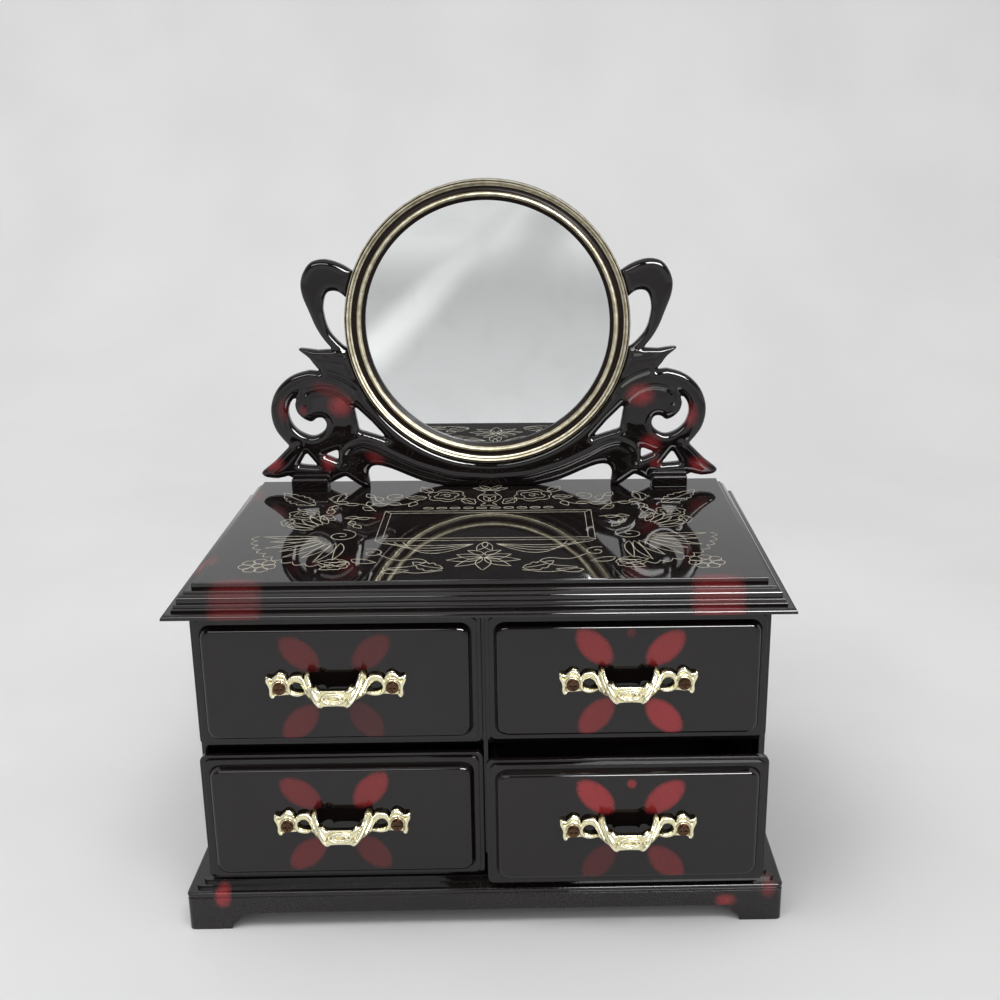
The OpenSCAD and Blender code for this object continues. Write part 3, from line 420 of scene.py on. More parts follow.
def distance_to(points: np.ndarray, segments: np.ndarray) -> np.ndarray:
    """Distance from each point to the nearest of some line segments.

    Args:
        points: rows of (a, b).
        segments: rows of (a0, b0, a1, b1).

    Returns:
        One distance for each point.
    """
    nearest = np.zeros(len(points))
    first, span = segments[:, :2], segments[:, 2:] - segments[:, :2]
    length = np.maximum((span**2).sum(1), 1e-12)
    for start in range(0, len(points), CHUNK):
        part = points[start : start + CHUNK, None, :]
        along = np.clip(((part - first) * span).sum(2) / length, 0, 1)
        gap = part - first - along[..., None] * span
        nearest[start : start + CHUNK] = np.sqrt((gap**2).sum(2).min(1))
    return nearest


def step(value: np.ndarray, low: float, high: float) -> np.ndarray:
    """Smooth step from 0 at low to 1 at high."""
    t = np.clip((value - low) / (high - low), 0, 1)
    return t * t * (3 - 2 * t)


def flowing(points: Sequence[Sequence[float]], parts: int, closed: bool = False) -> np.ndarray:
    """Run a smooth line through points.

    Args:
        points: the points, of any number of values each.
        parts: how many pieces each span is cut into.
        closed: whether the line comes back to its start.

    Returns:
        The line's points.
    """
    p = np.asarray(points, float)
    if closed:
        p = np.vstack([p[-1], p, p[0], p[1]])
    else:
        p = np.vstack([2 * p[0] - p[1], p, 2 * p[-1] - p[-2]])
    line = []
    for i in range(1, len(p) - 2):
        for t in np.arange(parts) / parts:
            line.append(
                0.5 * (2 * p[i] + (p[i + 1] - p[i - 1]) * t
                       + (2 * p[i - 1] - 5 * p[i] + 4 * p[i + 1] - p[i + 2]) * t**2
                       + (3 * p[i] - p[i - 1] - 3 * p[i + 1] + p[i + 2]) * t**3)
            )
    if not closed:
        line.append(p[-2])
    return np.array(line)


def strands(name: str, lines: Sequence[tuple[np.ndarray, bool]], sides: int) -> Piece:
    """Make round strands along lines, as one mesh.

    Args:
        name: the mesh's name.
        lines: rows of (x, y, z, radius) in mm for each strand, and whether it is a loop.
        sides: Blender's bevel resolution, from 0 for four sides.

    Returns:
        The strands.
    """
    deselect()
    curve = bpy.data.curves.new(name, "CURVE")
    curve.dimensions = "3D"
    curve.bevel_depth = MM
    curve.bevel_resolution = sides
    curve.use_fill_caps = True
    for rows, closed in lines:
        spline = curve.splines.new("POLY")
        spline.points.add(len(rows) - 1)
        spline.use_cyclic_u = closed
        for point, (x, y, z, r) in zip(spline.points, rows):
            point.co = (x * MM, y * MM, z * MM, 1)
            point.radius = r
    piece = bpy.data.objects.new(name, curve)
    bpy.context.scene.collection.objects.link(piece)
    take(piece)
    bpy.ops.object.convert(target="MESH")
    piece = named(bpy.context.object, name)
    with editing(piece):
        bpy.ops.mesh.remove_doubles(threshold=MERGE)
        bpy.ops.mesh.normals_make_consistent(inside=False)
    return piece


def joined(pieces: Sequence[Piece], name: str) -> Piece:
    """Join pieces into the first of them.

    Args:
        pieces: the pieces.
        name: the name of the whole.

    Returns:
        The whole.
    """
    take(pieces[0])
    for piece in pieces[1:]:
        piece.select_set(True)
    bpy.ops.object.join()
    return named(bpy.context.object, name)


def paint(piece: Piece, material: Material) -> None:
    """Give a piece one finish all over."""
    piece.data.materials.clear()
    piece.data.materials.append(material)


def dress(piece: Piece, material: Material) -> None:
    """Give a piece its finish."""
    paint(piece, material)


def place(piece: Piece, body: str, *nodes: str) -> None:
    """Let a piece ride on a body in the place of its nodes.

    Args:
        piece: the piece.
        body: the body's name.
        nodes: the nodes' names.
    """
    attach(piece, body)
    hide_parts(*nodes)
    LOG.info("%s rides on %s for %s: %d faces", piece.name, body, ", ".join(nodes), len(piece.data.polygons))


def repaint(node: str, material: Material) -> None:
    """Give a node that stays as it is a finish."""
    paint(frame["nodes"][node], material)
    LOG.info("%s stays, with %s", node, material.name)


def rounded(node: str, name: str, width: float, material: Material, body: str = "case") -> None:
    """Put a copy with rounded edges in a node's place.

    Args:
        node: the node's name.
        name: the copy's name.
        width: the width of its rounded edges in mm.
        material: its finish.
        body: the body that it rides on.
    """
    piece = copy_of(node, name)
    round_edges(piece, width)
    dress(piece, material)
    place(piece, body, node)


# Finishes


@dataclass(frozen=True)
class Cloud:
    """Cloudy pattern of a finish.

    Attributes:
        grain: size of a patch in mm.
        detail: how many finer layers it has.
        ends: the noise where the pattern starts and where it ends.
        values: what the pattern is there.
        stretch: how much finer it is along each axis.
        warp: how far its patches are distorted.
    """

    grain: float
    detail: float = 2
    ends: Pair = (0.3, 0.7)
    values: Pair = (0, 1)
    stretch: Triple = (1, 1, 1)
    warp: float = 0


@dataclass(frozen=True)
class Relief:
    """Slight relief: its grain in mm, its finer layers, how much of it shows and its height in mm."""

    grain: float
    detail: float
    strength: float
    height: float


class Graph:
    """Node tree of a material or a world, and calls that add to it."""

    def __init__(self, owner: Material | bpy.types.World) -> None:
        """Open the owner's node tree."""
        owner.use_nodes = True
        self.nodes = owner.node_tree.nodes
        self.links = owner.node_tree.links

    def add(self, kind: str, feeds: Feeds | None = None, **settings: object) -> bpy.types.Node:
        """Add a node.

        Args:
            kind: Blender's name of the node.
            feeds: what goes into its sockets, links or constants.
            settings: the node's own values.

        Returns:
            The node.
        """
        node = self.nodes.new(kind)
        for key, value in settings.items():
            setattr(node, key, value)
        for key, value in (feeds or {}).items():
            self.feed(node.inputs[key], value)
        return node

    def feed(self, socket: Socket, value: object) -> None:
        """Link a socket or set its constant.

        Args:
            socket: the socket.
            value: another node's socket, or the constant.
        """
        if isinstance(value, Socket):
            self.links.new(value, socket)
        else:
            socket.default_value = value

    def axes(self, vector: Socket) -> dict[str, Socket]:
        """Return the X, Y and Z of a vector."""
        outputs = self.add("ShaderNodeSeparateXYZ", {"Vector": vector}).outputs
        return {axis: outputs[axis] for axis in "XYZ"}

    def band(self, value: Socket, low: float, high: float, first: float = 0, last: float = 1) -> Socket:
        """Smooth change from first, where value is low, to last, where it is high."""
        feeds = {"Value": value, "From Min": low, "From Max": high, "To Min": first, "To Max": last}
        return self.add("ShaderNodeMapRange", feeds, interpolation_type="SMOOTHSTEP").outputs["Result"]

    def calc(self, operation: str, *values: object) -> Socket:
        """Reckon with one to three values."""
        return self.add("ShaderNodeMath", dict(enumerate(values)), operation=operation).outputs["Value"]

    def times(self, first: object, second: object) -> Socket:
        """Product of two values."""
        return self.calc("MULTIPLY", first, second)

    def blend(self, value: object, share: object, rest: object) -> Socket:
        """Share of a value, on top of the rest."""
        return self.calc("MULTIPLY_ADD", value, share, rest)


class Paint(Graph):
    """Graph of one finish, with its shader and the object's own coordinates."""

    def __init__(self, name: str) -> None:
        """Start a material with a shader and its output."""
        self.material = bpy.data.materials.new(name)
        super().__init__(self.material)
        self.nodes.clear()
        self.shader = self.add("ShaderNodeBsdfPrincipled")
        self.add("ShaderNodeOutputMaterial", {"Surface": self.shader.outputs["BSDF"]})
        self.place = self.add("ShaderNodeTexCoord").outputs["Object"]

    def shade(self, **values: object) -> None:
        """Feed the shader's sockets, with underscores for the spaces in their names."""
        for key, value in values.items():
            self.feed(self.shader.inputs[key.replace("_", " ")], value)

    def within(self, at: Triple, turn: float = 0, half: Triple = (1 / MM, 1 / MM, 1 / MM)) -> Socket:
        """Coordinates about a place.

        Args:
            at: the place in mm.
            turn: how far they are turned about Y, in degrees.
            half: what counts as 1 along each axis, in mm.

        Returns:
            The coordinates.
        """
        feeds = {
            "Vector": self.place,
            "Location": [v * MM for v in at],
            "Rotation": (0, -math.radians(turn), 0),
            "Scale": [v * MM for v in half],
        }
        return self.add("ShaderNodeMapping", feeds, vector_type="TEXTURE").outputs["Vector"]

    def noise(self, cloud: Cloud) -> Socket:
        """Cloudy noise about 0.5."""
        at = self.add("ShaderNodeMapping", {"Vector": self.place, "Scale": cloud.stretch}).outputs["Vector"]
        size = {"Scale": 1 / (cloud.grain * MM), "Detail": cloud.detail, "Distortion": cloud.warp}
        return self.add("ShaderNodeTexNoise", {"Vector": at, **size}).outputs["Fac"]

    def cloud(self, cloud: Cloud) -> Socket:
        """Cloudy pattern between its two values."""
        return self.band(self.noise(cloud), *cloud.ends, *cloud.values)

    def specks(self, cell: float, radius: float, share: float) -> Socket:
        """Scattered round specks.

        Args:
            cell: how far apart they may be, in mm.
            radius: a speck's radius in mm.
            share: the share of the places that has one.

        Returns:
            1 on a speck and 0 beside it.
        """
        core = 0.4
        node = self.add("ShaderNodeTexVoronoi", {"Vector": self.place, "Scale": 1 / (cell * MM)})
        dot = self.band(node.outputs["Distance"], radius / cell, core * radius / cell)
        pick = self.add("ShaderNodeSeparateColor", {"Color": node.outputs["Color"]}).outputs["Red"]
        return self.times(dot, self.calc("LESS_THAN", pick, share))

    def mix(self, share: object, first: object, second: object) -> Socket:
        """Mix two colours by a share of the second."""
        return self.add("ShaderNodeMix", {0: share, 6: first, 7: second}, data_type="RGBA").outputs[2]

    def bump(self, height: Socket, strength: float, depth: float, under: Socket | None = None) -> Socket:
        """Raise the surface a little.

        Args:
            height: 0 to 1.
            strength: how much of it shows.
            depth: the height of 1, in mm.
            under: the bump below it.

        Returns:
            The normal.
        """
        feeds = {"Height": height, "Strength": strength, "Distance": depth * MM}
        if under is not None:
            feeds["Normal"] = under
        return self.add("ShaderNodeBump", feeds).outputs["Normal"]

    def relief(self, relief: Relief, under: Socket | None = None) -> Socket:
        """Raise the surface in a cloudy relief, on top of the bump below it."""
        height = self.noise(Cloud(relief.grain, relief.detail))
        return self.bump(height, relief.strength, relief.height, under)

    def hollow(self) -> Socket:
        """How hollow the skin is, 0 on crests, 1 in hollows and up to 2 where painted back shade is added."""
        return self.add("ShaderNodeAttribute", attribute_name="hollow").outputs["Fac"]


class Finish:
    """What a surface is made of and how it looks."""

    name: str

    def make(self) -> Material:
        """Return the material."""
        g = Paint(self.name)
        self.lay(g)
        return g.material

    def lay(self, g: Paint) -> None:
        """Feed a graph's shader."""
        raise NotImplementedError


@dataclass(frozen=True)
class Dab:
    """One sprayed red patch: a soft ellipsoid, in mm, that colours the lacquer in it."""

    at: Triple
    half: Triple
    turn: float = 0
    cover: float = 1
    edge: float = 0.26
    outline: Spray = Spray.OVAL


@dataclass(frozen=True)
class Lacquer(Finish):
    """Polished black lacquer with sprayed red dabs, dust, wipe marks, a haze that is dust film and painted
    sheen, and a slight wave in its gloss.
    """

    name: str
    dabs: tuple[Dab, ...] = ()
    dust: float = 0.3
    # pale cloudy film over the black: partly dust, partly painted sheen
    dust_haze_and_sheen: float = 0.0
    ior: float = 1.5
    black: Colour = (0.0045, 0.0036, 0.0038, 1)
    warm: Colour = (0.0085, 0.0052, 0.0052, 1)
    red: Colour = (0.37, 0.03, 0.035, 1)
    deep_red: Colour = (0.21, 0.018, 0.021, 1)
    # pale grey of the dust specks and of the haze, which is partly painted sheen
    speck: Colour = (0.3, 0.28, 0.27, 1)
    warmth: Cloud = Cloud(30, 3)
    coats: Cloud = Cloud(0.35, 3, (0.2, 0.75))
    spray: Cloud = Cloud(0.45, 2)
    spray_gain: float = 2.0
    spray_start: float = 0.01
    dust_size: Pair = (7, 0.16)
    dust_tint: float = 0.5
    dust_rough: float = 0.4
    dust_height: Pair = (0.4, 0.03)
    fine_film: Cloud = Cloud(0.6, 4, (0.42, 0.75))
    broad_film: Cloud = Cloud(26, 4, (0.3, 0.7), (0.3, 1))
    wipes: Cloud = Cloud(22, 4, (0.35, 0.75), (0.02, 0.06), (1, 1, 0.35), 0.6)
    peel: Relief = Relief(1.1, 1, 0.12, 0.02)
    wave: Relief = Relief(14, 1, 0.1, 0.25)
    petal_powers: Triple = (2, 2, 1.7)
    patch_powers: Triple = (2.6, 5, 5)

    def lay(self, g: Paint) -> None:
        """Feed a graph's shader.

        Args:
            g: the finish's graph.
        """
        base = g.mix(g.noise(self.warmth), self.black, self.warm)
        cover = self.sprayed(g)
        if cover is not None:
            base = g.mix(cover, base, g.mix(g.cloud(self.coats), self.deep_red, self.red))
        dust = g.specks(*self.dust_size, self.dust)
        film = g.times(g.cloud(self.fine_film), g.cloud(self.broad_film))
        # haze of dust and painted sheen over the black
        film = g.blend(film, self.dust_haze_and_sheen, g.times(dust, self.dust_tint))
        wave = g.relief(self.wave, g.relief(self.peel))
        g.shade(
            Base_Color=g.mix(film, base, self.speck), IOR=self.ior,
            Roughness=g.blend(dust, self.dust_rough, g.cloud(self.wipes)),
            Normal=g.bump(dust, *self.dust_height, wave),
        )

    def sprayed(self, g: Paint) -> Socket | None:
        """Mask of the red dabs.

        Args:
            g: the finish's graph.

        Returns:
            1 where the lacquer is red, or None where it has no dab.
        """
        grain = g.times(g.noise(self.spray), self.spray_gain)
        whole = None
        for dab in self.dabs:
            inside = self.inside(g, g.within(dab.at, dab.turn, dab.half), dab.outline)
            mask = g.band(g.times(inside, grain), self.spray_start, dab.edge, 0, dab.cover)
            whole = mask if whole is None else g.calc("MAXIMUM", whole, mask)
        return whole

    def inside(self, g: Paint, at: Socket, outline: Spray) -> Socket:
        """How far in a dab a point lies.

        Args:
            g: the finish's graph.
            at: the point as shares of the dab's half sizes.
            outline: the dab's outline.

        Returns:
            0 on the outline and 1 in the middle.
        """
        if outline is Spray.OVAL:
            return g.add("ShaderNodeTexGradient", {"Vector": at}, gradient_type="SPHERICAL").outputs["Fac"]
        powers = self.petal_powers if outline is Spray.PETAL else self.patch_powers
        parts = [g.calc("POWER", g.calc("ABSOLUTE", part), n) for part, n in zip(g.axes(at).values(), powers)]
        total = g.calc("ADD", g.calc("ADD", parts[0], parts[1]), parts[2])
        return g.calc("MAXIMUM", g.calc("SUBTRACT", 1, total), 0)


@dataclass(frozen=True)
class CastGold(Finish):
    """Pale gold plating on a casting: bright worn crests, dull olive hollows that are partly painted shade,
    and painted shade on its back and partly on its tops.
    """

    name: str
    crest: Colour = (0.97, 0.94, 0.74, 1)
    face: Colour = (0.9, 0.84, 0.54, 1)
    # olive tarnish in the hollows, with painted shade where the back term of hollow reaches this band
    hollow: Colour = (0.26, 0.21, 0.09, 1)
    # painted shade: near black on the pull's back and partly on its tops
    painted_back_shade: Colour = (0.03, 0.026, 0.016, 1)
    face_at: Pair = (0.3, 0.62)
    hollow_at: Pair = (0.85, 1.2)
    painted_back_shade_at: Pair = (1.1, 1.5)
    mottle: Cloud = Cloud(0.9, 3)
    mottle_share: float = 0.3
    rough_at: Pair = (0.5, 1.1)
    rough: Pair = (0.16, 0.42)
    smears: Cloud = Cloud(2.2, 3, (0.4, 0.8), (0, 0.12))
    skin: Relief = Relief(0.45, 2, 0.22, 0.05)

    def lay(self, g: Paint) -> None:
        """Feed a graph's shader.

        Args:
            g: the finish's graph.
        """
        hollow = g.blend(g.noise(self.mottle), self.mottle_share, g.hollow())
        base = g.mix(g.band(hollow, *self.face_at), self.crest, self.face)
        # hollows get olive tarnish with painted shade; the back and tops get painted shade
        base = g.mix(g.band(hollow, *self.hollow_at), base, self.hollow)
        base = g.mix(g.band(hollow, *self.painted_back_shade_at), base, self.painted_back_shade)
        rough = g.calc("ADD", g.band(hollow, *self.rough_at, *self.rough), g.cloud(self.smears))
        g.shade(Base_Color=base, Metallic=1.0, Roughness=rough, Normal=g.relief(self.skin))


@dataclass(frozen=True)
class BandedRing(Finish):
    """Black ring with gold leaf on its two beads and a brown-black cove between them."""

    name: str
    centre_z: float
    front_y: float
    gilt: tuple[Pair, ...] = ((48.55, 50.25), (52.4, 53.95), (54.45, 55.3))
    gilt_edge: Pair = (0.05, 0.1)
    front_at: Pair = (0.75, 0.35)
    gold: Colour = (0.62, 0.585, 0.45, 1)
    worn: Colour = (0.42, 0.37, 0.25, 1)
    cove: Colour = (0.016, 0.009, 0.006, 1)
    black: Colour = (0.006, 0.005, 0.005, 1)
    ior: float = 1.22
    gold_rough: float = 0.1
    waver: Cloud = Cloud(1.4, 2)
    waver_r: float = 0.16
    chips: Cloud = Cloud(1.7, 4, (0.24, 0.3), warp=0.4)
    wear: Cloud = Cloud(2.6, 4, (0.35, 0.7))
    browning: Cloud = Cloud(8, 3, (0.2, 0.5))
    gloss: Cloud = Cloud(6, 3, (0.35, 0.7), (0.26, 0.38))
    skin: Relief = Relief(0.6, 2, 0.15, 0.04)

    def lay(self, g: Paint) -> None:
        """Feed a graph's shader.

        Args:
            g: the finish's graph.
        """
        axes = g.axes(g.within((0, 0, self.centre_z)))
        square = g.blend(axes["X"], axes["X"], g.times(axes["Z"], axes["Z"]))
        radius = g.blend(g.noise(self.waver), self.waver_r * MM, g.calc("SQRT", square))
        out, into = self.gilt_edge
        gold = None
        for low, high in self.gilt:
            inside = g.times(
                g.band(radius, (low - out) * MM, (low + into) * MM),
                g.band(radius, (high + into) * MM, (high - out) * MM),
            )
            gold = inside if gold is None else g.calc("MAXIMUM", gold, inside)
        front = g.band(axes["Y"], *((self.front_y + at) * MM for at in self.front_at))
        gold = g.times(gold, g.times(front, g.cloud(self.chips)))
        leaf = g.mix(g.cloud(self.wear), self.gold, self.worn)
        dark = g.mix(front, self.black, g.mix(g.cloud(self.browning), self.black, self.cove))
        g.shade(
            Base_Color=g.mix(gold, dark, leaf), Metallic=gold, IOR=self.ior,
            Roughness=g.blend(gold, self.gold_rough, g.cloud(self.gloss)), Normal=g.relief(self.skin),
        )


@dataclass(frozen=True)
class SilveredGlass(Finish):
    """Mirror glass with a trace of dust and wiping."""

    name: str
    silver: Colour = (0.93, 0.95, 0.95, 1)
    dusty: Colour = (0.86, 0.88, 0.88, 1)
    specks: Triple = (6, 0.14, 0.25)
    speck_tint: float = 0.7
    speck_rough: float = 0.25
    film: Cloud = Cloud(18, 4, (0.4, 0.9), warp=1)
    wipes: Cloud = Cloud(25, 4, (0.45, 0.85), (0, 0.03), (1, 1, 0.4))

    def lay(self, g: Paint) -> None:
        """Feed a graph's shader.

        Args:
            g: the finish's graph.
        """
        specks = g.specks(*self.specks)
        base = g.mix(g.blend(specks, self.speck_tint, g.cloud(self.film)), self.silver, self.dusty)
        rough = g.blend(specks, self.speck_rough, g.cloud(self.wipes))
        g.shade(Base_Color=base, Metallic=1.0, Roughness=rough)


@dataclass(frozen=True)
class Velvet(Finish):
    """Short red pile that catches light at a glancing angle and lies in patches."""

    name: str
    pile: Colour = (0.2, 0.006, 0.012, 1)
    brushed: Colour = (0.34, 0.013, 0.024, 1)
    patches: Cloud = Cloud(9, 3, (0.35, 0.68), warp=0.8)
    tufts: Cloud = Cloud(0.28, 2)
    tuft_tone: Pair = (0.25, 0.75)
    rough_at: Pair = (0.2, 0.8)
    rough: Pair = (0.8, 0.97)
    tuft_height: Pair = (0.55, 0.16)
    sheen: float = 0.9
    sheen_rough: float = 0.35
    sheen_tint: Colour = (1, 0.35, 0.38, 1)

    def lay(self, g: Paint) -> None:
        """Feed a graph's shader.

        Args:
            g: the finish's graph.
        """
        tufts = g.noise(self.tufts)
        share = g.times(g.cloud(self.patches), g.band(tufts, *self.tuft_tone))
        g.shade(
            Base_Color=g.mix(share, self.pile, self.brushed),
            Roughness=g.band(tufts, *self.rough_at, *self.rough), Normal=g.bump(tufts, *self.tuft_height),
            Sheen_Weight=self.sheen, Sheen_Roughness=self.sheen_rough, Sheen_Tint=self.sheen_tint,
        )


@dataclass(frozen=True)
class Metal(Finish):
    """Plain metal, brushed, cast or turned, with darker tarnish in patches."""

    name: str
    bright: Colour
    dull: Colour
    rough: Pair
    grain: float
    stretch: Triple = (1, 1, 1)
    relief: float = 0.05
    grain_detail: float = 3
    grain_share: float = 0.35
    grain_strength: float = 0.3
    stain: Cloud = Cloud(7, 4, (0.4, 0.72), warp=0.5)
    stain_share: float = 0.65
    stain_rough: float = 0.1

    def lay(self, g: Paint) -> None:
        """Feed a graph's shader.

        Args:
            g: the finish's graph.
        """
        grain = Cloud(self.grain, self.grain_detail, values=self.rough, stretch=self.stretch)
        lines, stain = g.noise(grain), g.cloud(self.stain)
        tarnish = g.blend(lines, self.grain_share, g.times(stain, self.stain_share))
        rough = g.calc("ADD", g.band(lines, *grain.ends, *grain.values), g.times(stain, self.stain_rough))
        g.shade(
            Base_Color=g.mix(tarnish, self.bright, self.dull), Metallic=1.0, Roughness=rough,
            Normal=g.bump(lines, self.grain_strength, self.relief),
        )


@dataclass(frozen=True)
class SatinPlastic(Finish):
    """Moulded black plastic with a fine satin texture."""

    name: str
    body: Colour = (0.008, 0.0078, 0.0082, 1)
    scuffed: Colour = (0.019, 0.0185, 0.019, 1)
    ior: float = 1.5
    specks: Triple = (6, 0.15, 0.25)
    speck_tint: float = 0.9
    scuffs: Cloud = Cloud(11, 5, (0.45, 0.8), stretch=(1, 1, 2.4), warp=0.7)
    gloss: Cloud = Cloud(16, 3, (0.3, 0.7), (0.26, 0.42))
    skin: Relief = Relief(0.4, 2, 0.2, 0.04)

    def lay(self, g: Paint) -> None:
        """Feed a graph's shader.

        Args:
            g: the finish's graph.
        """
        share = g.blend(g.specks(*self.specks), self.speck_tint, g.cloud(self.scuffs))
        g.shade(
            Base_Color=g.mix(share, self.body, self.scuffed), Roughness=g.cloud(self.gloss), IOR=self.ior,
            Normal=g.relief(self.skin),
        )


@dataclass(frozen=True)
class PaleInk(Finish):
    """Pale gilt line printed and raised on the lacquer, thinner in places."""

    name: str
    gilt: Colour = (0.56, 0.52, 0.41, 1)
    thin: Colour = (0.3, 0.27, 0.2, 1)
    wear: Cloud = Cloud(2.4, 4, (0.42, 0.72))
    gloss: Cloud = Cloud(1.5, 2, (0.3, 0.7), (0.35, 0.6))
    skin: Relief = Relief(0.3, 2, 0.3, 0.03)

    def lay(self, g: Paint) -> None:
        """Feed a graph's shader.

        Args:
            g: the finish's graph.
        """
        base = g.mix(g.cloud(self.wear), self.gilt, self.thin)
        g.shade(Base_Color=base, Roughness=g.cloud(self.gloss), Normal=g.relief(self.skin))


@dataclass(frozen=True)
class PaleSweep(Finish):
    """Pale matt floor and backdrop, faintly mottled, with painted shade just in front of the box, lighter and
    darker bands painted as soft folds, and a painted lighter part farther in front.
    """

    name: str
    light: Colour = (0.71, 0.71, 0.715, 1)
    dim: Colour = (0.67, 0.67, 0.675, 1)
    shade: Colour = (0.54, 0.54, 0.543, 1)
    # painted light: the floor far in front of the box is made lighter
    far: Colour = (0.97, 0.97, 0.965, 1)
    shade_y: Pair = (-130, -800)
    painted_light_far_y: Pair = (-1300, -2300)
    fold_y: Pair = (-350, -900)
    # painted light and shade: a lighter and a darker band across the floor, as soft folds would be lit
    painted_fold_light_and_shade: tuple[tuple[float, float, float, Colour], ...] = (
        (-230, 55, 0.85, (0.9, 0.9, 0.895, 1)),
        (-92, 105, 0.6, (0.54, 0.54, 0.543, 1)),
    )
    fold_slant: float = 0.06
    fold_wave: float = 40
    fold_core: float = 0.1
    drift: Cloud = Cloud(900, 1)
    mottle: Cloud = Cloud(160, 3)
    rough: float = 0.9
    gloss: float = 0.1
    skin: Relief = Relief(1.6, 2, 0.05, 0.1)

    def lay(self, g: Paint) -> None:
        """Feed a graph's shader.

        Args:
            g: the finish's graph.
        """
        base = g.mix(g.cloud(self.mottle), self.light, self.dim)
        axes = g.axes(g.place)
        shade, far, reach = (
            g.band(axes["Y"], *(y * MM for y in ends)) for ends in (self.shade_y, self.painted_light_far_y, self.fold_y)
        )
        # painted shade just in front of the box, painted light far in front
        base = g.mix(far, g.mix(shade, base, self.shade), self.far)
        across = g.blend(axes["Y"], self.fold_slant, axes["X"])
        across = g.blend(g.calc("SUBTRACT", g.noise(self.drift), 0.5), self.fold_wave * MM, across)
        # painted light and shade of the fold bands
        for middle, half, depth, colour in self.painted_fold_light_and_shade:
            off = g.calc("ABSOLUTE", g.calc("SUBTRACT", across, middle * MM))
            inside = g.band(off, half * MM, self.fold_core * half * MM, 0, depth)
            base = g.mix(g.times(reach, inside), base, colour)
        g.shade(
            Base_Color=base, Roughness=self.rough, Specular_IOR_Level=self.gloss, Normal=g.relief(self.skin),
        )


STEEL = Metal("zinc_plated_steel", (0.62, 0.62, 0.6, 1), (0.36, 0.35, 0.33, 1), (0.22, 0.36), 0.8)
BRASS = Metal("turned_brass", (0.72, 0.52, 0.2, 1), (0.42, 0.27, 0.09, 1), (0.18, 0.32), 0.7)
CASTING = Metal(
    "sand_cast_alloy", (0.36, 0.36, 0.37, 1), (0.22, 0.22, 0.23, 1), (0.42, 0.6), 0.9, relief=0.25,
)
BRONZED = Metal("bronzed_screw_head", (0.13, 0.075, 0.045, 1), (0.045, 0.026, 0.018, 1), (0.22, 0.38), 0.6)
COMB_STEEL = Metal(
    "ground_comb_steel", (0.55, 0.56, 0.58, 1), (0.4, 0.4, 0.42, 1), (0.16, 0.28), 0.5, (0.1, 1, 1),
)


# Sub-assemblies


